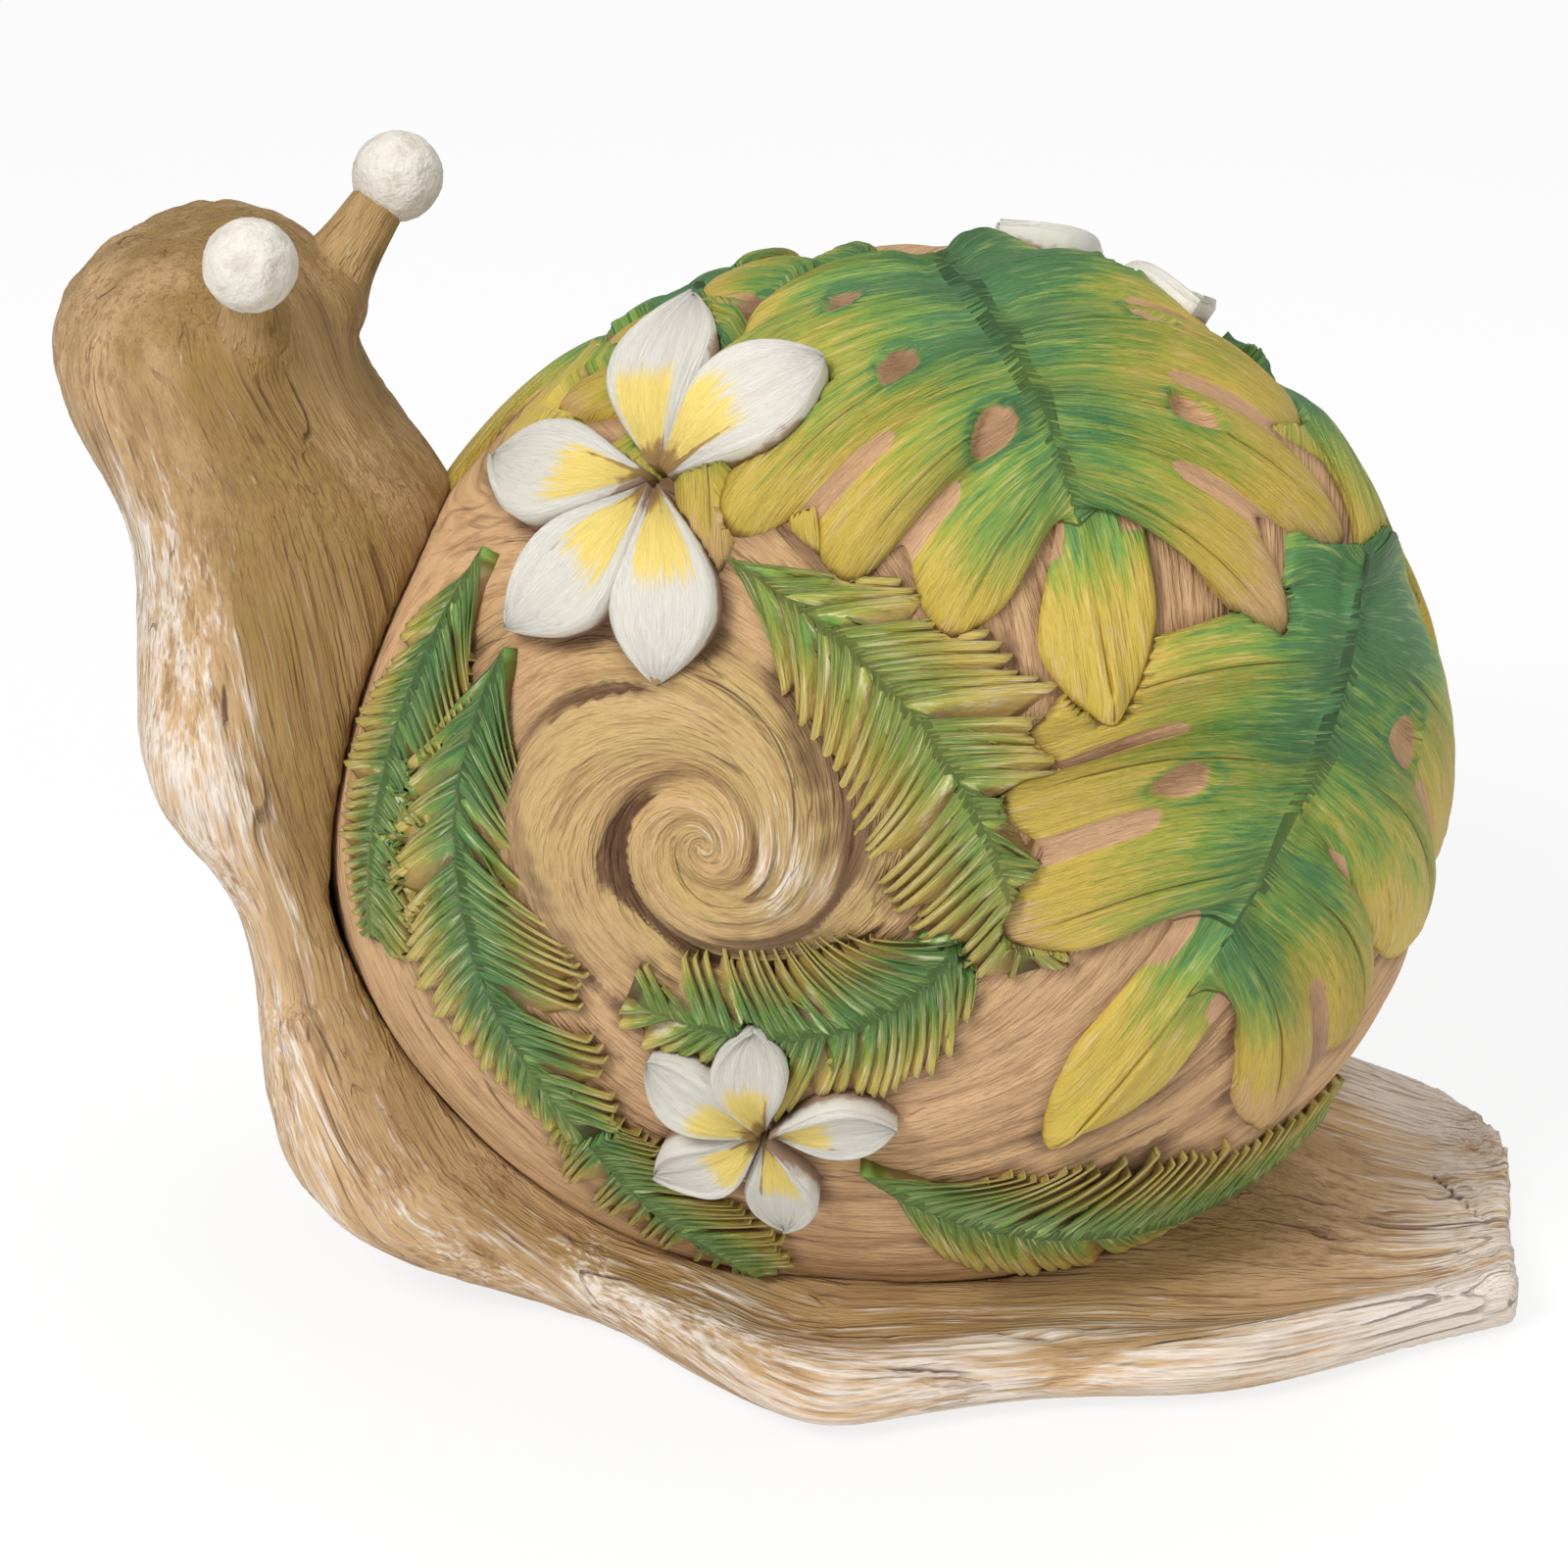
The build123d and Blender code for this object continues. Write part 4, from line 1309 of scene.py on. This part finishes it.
        tone += 0.72 * smooth(0.62, 0.90, along) - 0.22 * (1 - smooth(0.0, 0.35, along))
        tone -= 0.25 * lip
        groove = bell(away - 2.6 * MM, 0.8 * MM) * 0.4
        groove += 0.55 * smooth(0.35, 0.8, -vein) * smooth(0.2, 0.5, out)
        groove += 0.95 * bell(from_tip, 0.05) * smooth(0.06, 0.3, out) * (1 - smooth(0.7, 0.95, out))
        groove += 0.42 * (1 - smooth(0.0, 0.35, phase)) * smooth(0.25, 0.7, out)
        tipped = smooth(0.93, 1.0, out) * smooth(0.85, 1.0, phase)
        piece.aim(coords + np.array([0.0, 0.0, self.row[0]]))
        groove += tipped * 0.7 + smooth(0.975, 1.0, out) * 0.35
        piece.paint(tone=tone, hole=hole, groove=np.clip(groove, 0, 1))
        piece.weld(self.weld_gap)
        piece.skirt(lambda low: sink(form, low, UNDER))
        piece.make(paint, "leaf_resin", self.node)


@dataclass(frozen=True)
class Frond:
    """A feather leaf with many narrow leaflets."""

    node: str
    row: tuple[float, float, float, float, float, float]
    width: float
    side: Side
    half_width: float = 20.0 * MM
    leaflets: int = 32
    per_leaflet: int = 8
    rows: int = 13
    lean: float = 0.23
    gap_root: float = 0.13
    gap_tip: float = 0.16
    taper: float = 0.3
    weld_gap: float = 0.1 * MM
    lightness: float = 0.32
    thickness: float = 2.6 * MM

    def make(self, form: ShellForm, paint: bpy.types.Material, covers: list[Cover]) -> None:
        """Makes the frond.

        Args:
            form: The shell it lies on.
            paint: Its leaf paint.
            covers: The upper pieces, to which the frond is added.
        """
        bed = LeafBed.along(form, self.row, self.side)
        piece = Piece(self.node + "_carved")
        turn, out = piece.grid(self.leaflets * self.per_leaflet * 2, self.rows)
        chance = random.Random(sum(map(ord, self.node)))
        sign = np.where(turn < 0.5, -1.0, 1.0)
        along_rib = np.clip(1.0 - np.abs(2.0 * turn - 1.0), 0.0, 1.0)
        beat = along_rib * self.leaflets
        index = np.clip(beat.astype(int), 0, self.leaflets - 1)
        reach = np.array([chance.uniform(0.82, 1.08) * (0.38 if chance.random() < 0.17 else 1.0)
                          for _ in range(self.leaflets * 2)])
        leaf_reach = reach[index + np.where(sign < 0, 0, self.leaflets)]
        phase = beat - np.floor(beat)
        tooth = np.sin(math.pi * phase) ** 0.65
        outline = np.sin(math.pi * np.clip(0.10 + 0.86 * along_rib, 0, 1)) ** 0.62
        wide = self.half_width * self.width * outline * (0.70 + 0.30 * tooth) * leaf_reach
        along = along_rib + 0.85 * self.lean * out * (1 - 0.55 * along_rib)
        along = np.clip(along - self.taper * out * (phase - 0.5) / self.leaflets, 0, 1.06)
        across = sign * wide * out
        flat = bed.flat(along, across)
        away = np.abs(across)
        to_gap = np.minimum(phase, 1 - phase) / (self.gap_root + self.gap_tip * out)
        split = (1 - smooth(0.0, 1.0, to_gap)) * smooth(0.12, 0.5, out)
        height = self.thickness * (1.0 - 0.42 * out) - 1.6 * MM * split
        height += 1.0 * MM * bell(away, 0.9 * MM) * (1 - 0.5 * along_rib)
        piece.move(bed.lay(flat, sunk(covers, bed, flat, height)))
        covers.append(Cover.around(bed, flat, turn, out))
        spread = np.clip(away / (self.half_width * self.width), 0, 1)
        tone = self.lightness + 0.54 * smooth(0.10, 0.78, spread) + 0.16 * smooth(0.75, 1.0, along_rib)
        tone += 0.26 * smooth(0.65, 1.0, out)
        coords = np.stack([out, beat * 1.4 * sign, np.full_like(out, self.row[0])], axis=1)
        piece.aim(coords)
        groove = split * 1.15 + bell(away - 1.9 * MM, 0.5 * MM) * 0.35
        piece.paint(tone=tone, hole=np.zeros_like(out), groove=np.clip(groove, 0, 1))
        piece.weld(self.weld_gap)
        piece.skirt(lambda low: sink(form, low, UNDER))
        piece.make(paint, "leaf_resin", self.node)


@dataclass(frozen=True)
class Blossom:
    """A flower of five cupped petals, each over the edge of the next."""

    node: str
    clock: float
    reach: float
    size: float
    turns: tuple[float, ...]
    side: Side
    radius: float = 31.0 * MM
    columns: int = 44
    rows: int = 34
    rise: float = 4.2 * MM

    def petal(self, bed: LeafBed, turn: float, stretch: float, covers: list[Cover]) -> Piece:
        """Makes one petal.

        Args:
            bed: The flower's plane.
            turn: Direction in degrees.
            stretch: Length as a share of the flower's radius.
            covers: The upper pieces, to which the petal is added.

        Returns:
            The petal's mesh.
        """
        piece = Piece("petal")
        long, wide = piece.grid(self.columns, self.rows)
        cross = wide * 2 - 1
        swell = np.sin(math.pi * np.clip(long, 0, 1) ** 1.38) ** 0.78
        half = self.radius * self.size * 0.260 * (0.10 * (1 - long) + swell)
        reach = self.radius * self.size * stretch * (0.05 + 0.95 * long)
        curl = 0.10 * self.radius * self.size * long * (1 - long) * 4
        cosine, sine = math.cos(math.radians(turn)), math.sin(math.radians(turn))
        side = cross * half + curl * 0.5
        flat = np.stack([reach * cosine - side * sine, reach * sine + side * cosine], axis=1)
        edge = np.abs(cross)
        height = self.rise + 1.2 * MM * np.sin(math.pi * long) + 0.9 * MM * cross * (1 - 0.5 * long)
        height += 0.9 * MM * edge**3 * (1 - long) - 0.55 * MM * bell(cross, 0.22) * np.sin(math.pi * long)
        height -= 1.3 * MM * smooth(0.0, 1.0, 1 - long) * smooth(0.55, 1.0, 1 - long)
        coords = np.stack([long, cross, np.full_like(long, turn)], axis=1)
        strokes = grain(coords, (2.4, 7.0, 1.0))
        height += 0.32 * MM * strokes + 0.55 * MM * bell(edge - 0.84, 0.12) * smooth(0.1, 0.5, long)
        height -= 0.9 * MM * smooth(0.88, 1.0, edge)
        piece.move(bed.lay(flat, height * (0.75 + 0.25 * self.size)))
        upper = np.flatnonzero(wide > 0.999)
        lower = np.flatnonzero(wide < 0.001)
        loop = np.concatenate([lower[np.argsort(long[lower])], upper[np.argsort(-long[upper])]])
        covers.append(Cover(bed, flat[loop]))
        piece.aim(coords)
        throat = (1 - smooth(0.30, 0.74, long)) * (1 - smooth(0.45, 1.0, np.abs(cross - 0.12)))
        crease = bell(cross + 0.5, 0.13) * (1 - smooth(0.5, 0.8, long)) * smooth(-0.2, 0.3, strokes)
        groove = bell(long, 0.13) * 0.55 + 0.12 * bell(cross - 0.3, 0.12) * (1 - long)
        groove += 0.42 * smooth(0.8, 1.0, edge) * smooth(0.0, 0.5, strokes) + 0.45 * crease
        piece.paint(throat=throat, groove=groove)
        piece.skirt(lambda low: sink(bed.form, low, UNDER))
        return piece

    def make(self, form: ShellForm, paint: bpy.types.Material, covers: list[Cover]) -> None:
        """Makes the flower as one piece of five petals.

        Args:
            form: The shell it lies on.
            paint: Its petal paint.
            covers: The upper pieces, to which the petals are added.
        """
        bed = LeafBed.at(form, self.clock, self.reach, self.side)
        whole = Piece(self.node + "_carved")
        chance = random.Random(sum(map(ord, self.node)))
        for turn in self.turns:
            part = self.petal(bed, turn, chance.uniform(0.94, 1.06), covers)
            data = bpy.data.meshes.new("petal")
            bmesh.ops.recalc_face_normals(part.mesh, faces=part.mesh.faces)
            part.mesh.to_mesh(data)
            part.mesh.free()
            whole.mesh.from_mesh(data)
            bpy.data.meshes.remove(data)
        whole.make(paint, "petal_resin", self.node)


@dataclass(frozen=True)
class Eye:
    """A stalk with a white ball at its end."""

    name: str
    root: tuple[float, float, float]
    ball: tuple[float, float, float]
    root_radius: float = 6.3 * MM
    tip_radius: float = 3.9 * MM
    ball_radius: float = 7.3 * MM
    sink: float = 5.0 * MM
    flare: float = 1.2 * MM
    weld_gap: float = 0.02 * MM

    def stalk(self, paint: bpy.types.Material) -> None:
        """Makes the stalk, which widens where it grows out of the head.

        Args:
            paint: Its wood paint.
        """
        piece = Piece("eye_stalk_" + self.name + "_carved")
        turn, rise = piece.grid(72, 60)
        root = np.array(self.root)
        line = np.array(self.ball) - root
        reach = float(np.linalg.norm(line))
        ahead = line / reach
        side = unit(np.cross(ahead, np.array([0.0, 1.0, 0.0])))
        other = np.cross(ahead, side)
        angle = turn * 2 * math.pi
        far = -self.sink + rise * (reach - 2.5 * MM + self.sink)
        share = np.clip(far / reach, 0, 1)
        radius = self.root_radius + (self.tip_radius - self.root_radius) * share**0.8
        radius = radius + self.flare * bell(np.maximum(far + 2 * MM, 0), 4.5 * MM)
        coords = np.stack([far, radius * np.cos(angle), radius * np.sin(angle)], axis=1)
        lines = grain(coords, (70.0, 420.0, 420.0), 4.0)
        radius = radius + 0.20 * MM * lines * smooth(0.1, 0.5, share)
        points = root + far[:, None] * ahead + radius[:, None] * (
            np.cos(angle)[:, None] * side + np.sin(angle)[:, None] * other)
        piece.move(points)
        piece.aim(coords)
        piece.paint(wash=np.full_like(far, 0.95), brush=smooth(0.6, 1.0, share) * 0.22,
                    crack=np.zeros_like(far), groove=smooth(0.2, 0.8, -lines) * 0.35)
        piece.weld(self.weld_gap)
        rims = [edge for edge in piece.mesh.edges if edge.is_boundary]
        bmesh.ops.holes_fill(piece.mesh, edges=rims, sides=0)
        piece.make(paint, "body_resin", "eye_stalk_" + self.name)

    def globe(self, paint: bpy.types.Material) -> None:
        """Makes the ball, uneven like thick paint.

        Args:
            paint: Its off-white paint.
        """
        piece = Piece("eye_ball_" + self.name + "_painted")
        bmesh.ops.create_icosphere(piece.mesh, subdivisions=5, radius=1.0)
        rays = unit(piece.points())
        lumps = grain(rays, (2.2, 2.2, 2.2)) * 0.16 + grain(rays, (6.0, 6.0, 14.0), 3.0) * 0.13
        piece.move(np.array(self.ball) + rays * (self.ball_radius + lumps * MM)[:, None])
        piece.make(paint, "eye_resin", "eye_ball_" + self.name)


def curve_through(rows: np.ndarray, guide: np.ndarray) -> np.ndarray:
    """Returns a smooth curve through rows of values.

    Args:
        rows: Values, one row per guide point.
        guide: Places along the guide points, 0 to their number less one.

    Returns:
        The values at each place.
    """
    last = len(rows) - 1
    first = np.clip(np.floor(guide).astype(int), 0, last - 1)
    share = (guide - first)[:, None]
    before = rows[np.maximum(first - 1, 0)]
    start = rows[first]
    end = rows[first + 1]
    after = rows[np.minimum(first + 2, last)]
    slope_in = (end - before) * CURVE_TENSION
    slope_out = (after - start) * CURVE_TENSION
    return (start * (2 * share**3 - 3 * share**2 + 1) + slope_in * (share**3 - 2 * share**2 + share)
            + end * (3 * share**2 - 2 * share**3) + slope_out * (share**3 - share**2))


def sink(form: ShellForm, points: np.ndarray, height: float) -> np.ndarray:
    """Returns points moved to one height above or below the shell.

    Args:
        form: The shell's form.
        points: Points, one per row.
        height: Height, negative below the surface.

    Returns:
        The moved points.
    """
    normals = form.normals(points)
    return points + normals * (height - form.distance(points))[:, None]


@dataclass(frozen=True)
class Studio:
    """Pale floor and soft light."""

    floor_size: float = 6.0
    floor_colour: Colour = srgb(236, 236, 236)
    floor_glow: float = 0.8
    sky: float = 0.40
    lamps: tuple[tuple[str, tuple[float, float, float], float, float], ...] = (
        ("key", (-0.55, -0.80, 1.10), 0.45, 14.5),
        ("fill", (0.95, -0.75, 0.65), 0.9, 3.4),
        ("top", (0.15, 0.35, 1.25), 0.9, 6.0),
        ("front", (0.0, -1.3, 0.35), 0.9, 2.0),
    )

    def floor_paint(self) -> bpy.types.Material:
        """Returns the floor's material, which shows nearly white to the camera."""
        graph = PaintGraph.named("floor_paint")
        matt = graph.node("ShaderNodeBsdfDiffuse", None, {"Color": self.floor_colour})
        glow = graph.node("ShaderNodeEmission", None, {"Color": (1.0, 1.0, 1.0, 1.0)})
        seen = graph.node("ShaderNodeLightPath", output="Is Camera Ray")
        mixed = graph.node("ShaderNodeMixShader", None, {0: seen * self.floor_glow, 1: matt, 2: glow})
        graph.node("ShaderNodeOutputMaterial", None, {"Surface": mixed})
        return graph.owner

    def make(self) -> None:
        """Makes the floor, the world and the lamps."""
        floor = bmesh.new()
        bmesh.ops.create_grid(floor, x_segments=8, y_segments=8, size=self.floor_size / 2)
        data = bpy.data.meshes.new("floor")
        floor.to_mesh(data)
        floor.free()
        data.materials.append(self.floor_paint())
        ground = placed("floor", data)
        sky = PaintGraph(bpy.data.worlds.new("studio"))
        seen = sky.node("ShaderNodeLightPath", output="Is Camera Ray")
        light = sky.node("ShaderNodeBackground", None, {
            "Color": (1.0, 1.0, 1.0, 1.0), "Strength": self.sky + seen * (1.0 - self.sky)})
        sky.node("ShaderNodeOutputWorld", None, {"Surface": light})
        bpy.context.scene.world = sky.owner
        for name, place, size, power in self.lamps:
            lamp = bpy.data.lights.new(name, "AREA")
            lamp.size = size
            lamp.energy = power
            holder = placed(name, lamp)
            holder.location = place
            holder.rotation_mode = "QUATERNION"
            aim = Vector((0.0, 0.0, 0.09)) - Vector(place)
            holder.rotation_quaternion = aim.to_track_quat("-Z", "Y")
        bpy.context.scene.view_settings.view_transform = "Standard"


def leaves() -> Iterable[SplitLeaf | Frond]:
    """Returns the leaves of both sides."""
    near, far = Side.NEAR, Side.FAR
    return (
        SplitLeaf("monstera_near_top", (83, 1.0, 68, 0.87, 46, 0.62), 1.0, near, TOP_LOBES),
        SplitLeaf("monstera_near_rear", (34, 0.98, 12, 0.71, -42, 0.50), 1.0, near, REAR_LOBES),
        SplitLeaf("monstera_near_front", (89, 0.998, 104, 0.94, 124, 0.83), 0.75, near),
        SplitLeaf("monstera_far_rear", (50, 0.95, 22, 0.82, -20, 0.54), 0.9, far),
        SplitLeaf("monstera_far_front", (108, 0.94, 130, 0.80, 162, 0.54), 0.8, far),
        Frond("frond_near_upper", (105, 0.69, 68, 0.44, 13, 0.31), 1.0, near, lightness=0.46),
        Frond("frond_near_inner", (30, 0.275, -78, 0.076, -166, 0.305), 0.9, near),
        Frond("frond_near_front", (139, 0.72, 166, 0.645, -141, 0.58), 0.9, near, lightness=0.22),
        Frond("frond_near_neck", (137, 0.855, 158, 0.80, -173, 0.805), 0.75, near, lightness=0.26),
        Frond("frond_near_rear", (-84, 0.39, -54, 0.775, -34, 0.97), 1.0, near),
        Frond("frond_near_low", (-150, 0.555, -124, 0.63, -102, 0.76), 0.8, near),
        Frond("frond_far_upper", (96, 0.62, 62, 0.42, 10, 0.31), 1.0, far),
        Frond("frond_far_inner", (10, 0.26, -80, 0.09, -164, 0.33), 0.9, far),
        Frond("frond_far_front", (-178, 0.68, -160, 0.68, -139, 0.67), 0.9, far),
        Frond("frond_far_rear", (-80, 0.42, -52, 0.76, -32, 0.94), 1.0, far),
        Frond("frond_far_low", (-144, 0.62, -122, 0.67, -102, 0.77), 0.8, far),
    )


def blossoms() -> Iterable[Blossom]:
    """Returns the flowers of both sides."""
    return (
        Blossom("flower_near_large", 112, 0.819, 1.0, (-160, -101, -28, 26, 76), Side.NEAR),
        Blossom("flower_near_small", -110, 0.34, 0.7, (163, 112, 32, -65, -125), Side.NEAR),
        Blossom("flower_far_large", 64, 0.80, 0.9, (40, 112, 184, 256, 328), Side.FAR),
        Blossom("flower_far_small", -106, 0.42, 0.7, (30, 102, 174, 246, 318), Side.FAR),
    )


def main() -> None:
    """Builds the figurine, dresses it and lights it."""
    logging.basicConfig(level=logging.INFO, format="%(name)s %(message)s")
    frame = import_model()
    form = ShellForm()
    lens = Lens()
    lens.make()
    Studio().make()
    wood = WoodPaint().make("wood_body")
    Body(form, lens).make(frame["nodes"]["body_casting"], wood)
    covers: list[Cover] = []
    petal_paint = PetalPaint().make("petal_white")
    for blossom in blossoms():
        blossom.make(form, petal_paint, covers)
    leaf_paint = LeafPaint().make("leaf_green")
    frond_paint = LeafPaint(
        dark=srgb(66, 118, 58), green=srgb(112, 144, 56), lime=srgb(160, 160, 66), yellow=srgb(196, 174, 86),
        brown=srgb(122, 84, 50),
        pale_share=0.6).make("frond_green")
    for leaf in leaves():
        leaf.make(form, leaf_paint if isinstance(leaf, SplitLeaf) else frond_paint, covers)
    shell_wood = WoodPaint(tan=srgb(200, 160, 118), deep=srgb(140, 100, 62), olive=srgb(184, 156, 100),
                           streak=0.48)
    Shell(form).make(shell_wood.make("wood_shell"), covers)
    eye_paint = EyePaint().make("eye_white")
    for name, (root, ball) in EYE_PLACES.items():
        eye = Eye(name, root, ball)
        eye.stalk(wood)
        eye.globe(eye_paint)
    steel = PlainPaint(srgb(168, 168, 170), srgb(140, 140, 142), 0.35, 1.0).make("wire_steel")
    beech = PlainPaint(srgb(206, 172, 126), srgb(186, 148, 102), 0.6).make("dowel_wood")
    for name, paint in (("stalk_wire_near", steel), ("stalk_wire_far", steel),
                        ("shell_dowel_front", beech), ("shell_dowel_rear", beech)):
        frame["nodes"][name].data.materials.clear()
        frame["nodes"][name].data.materials.append(paint)


if __name__ == "__main__":
    main()
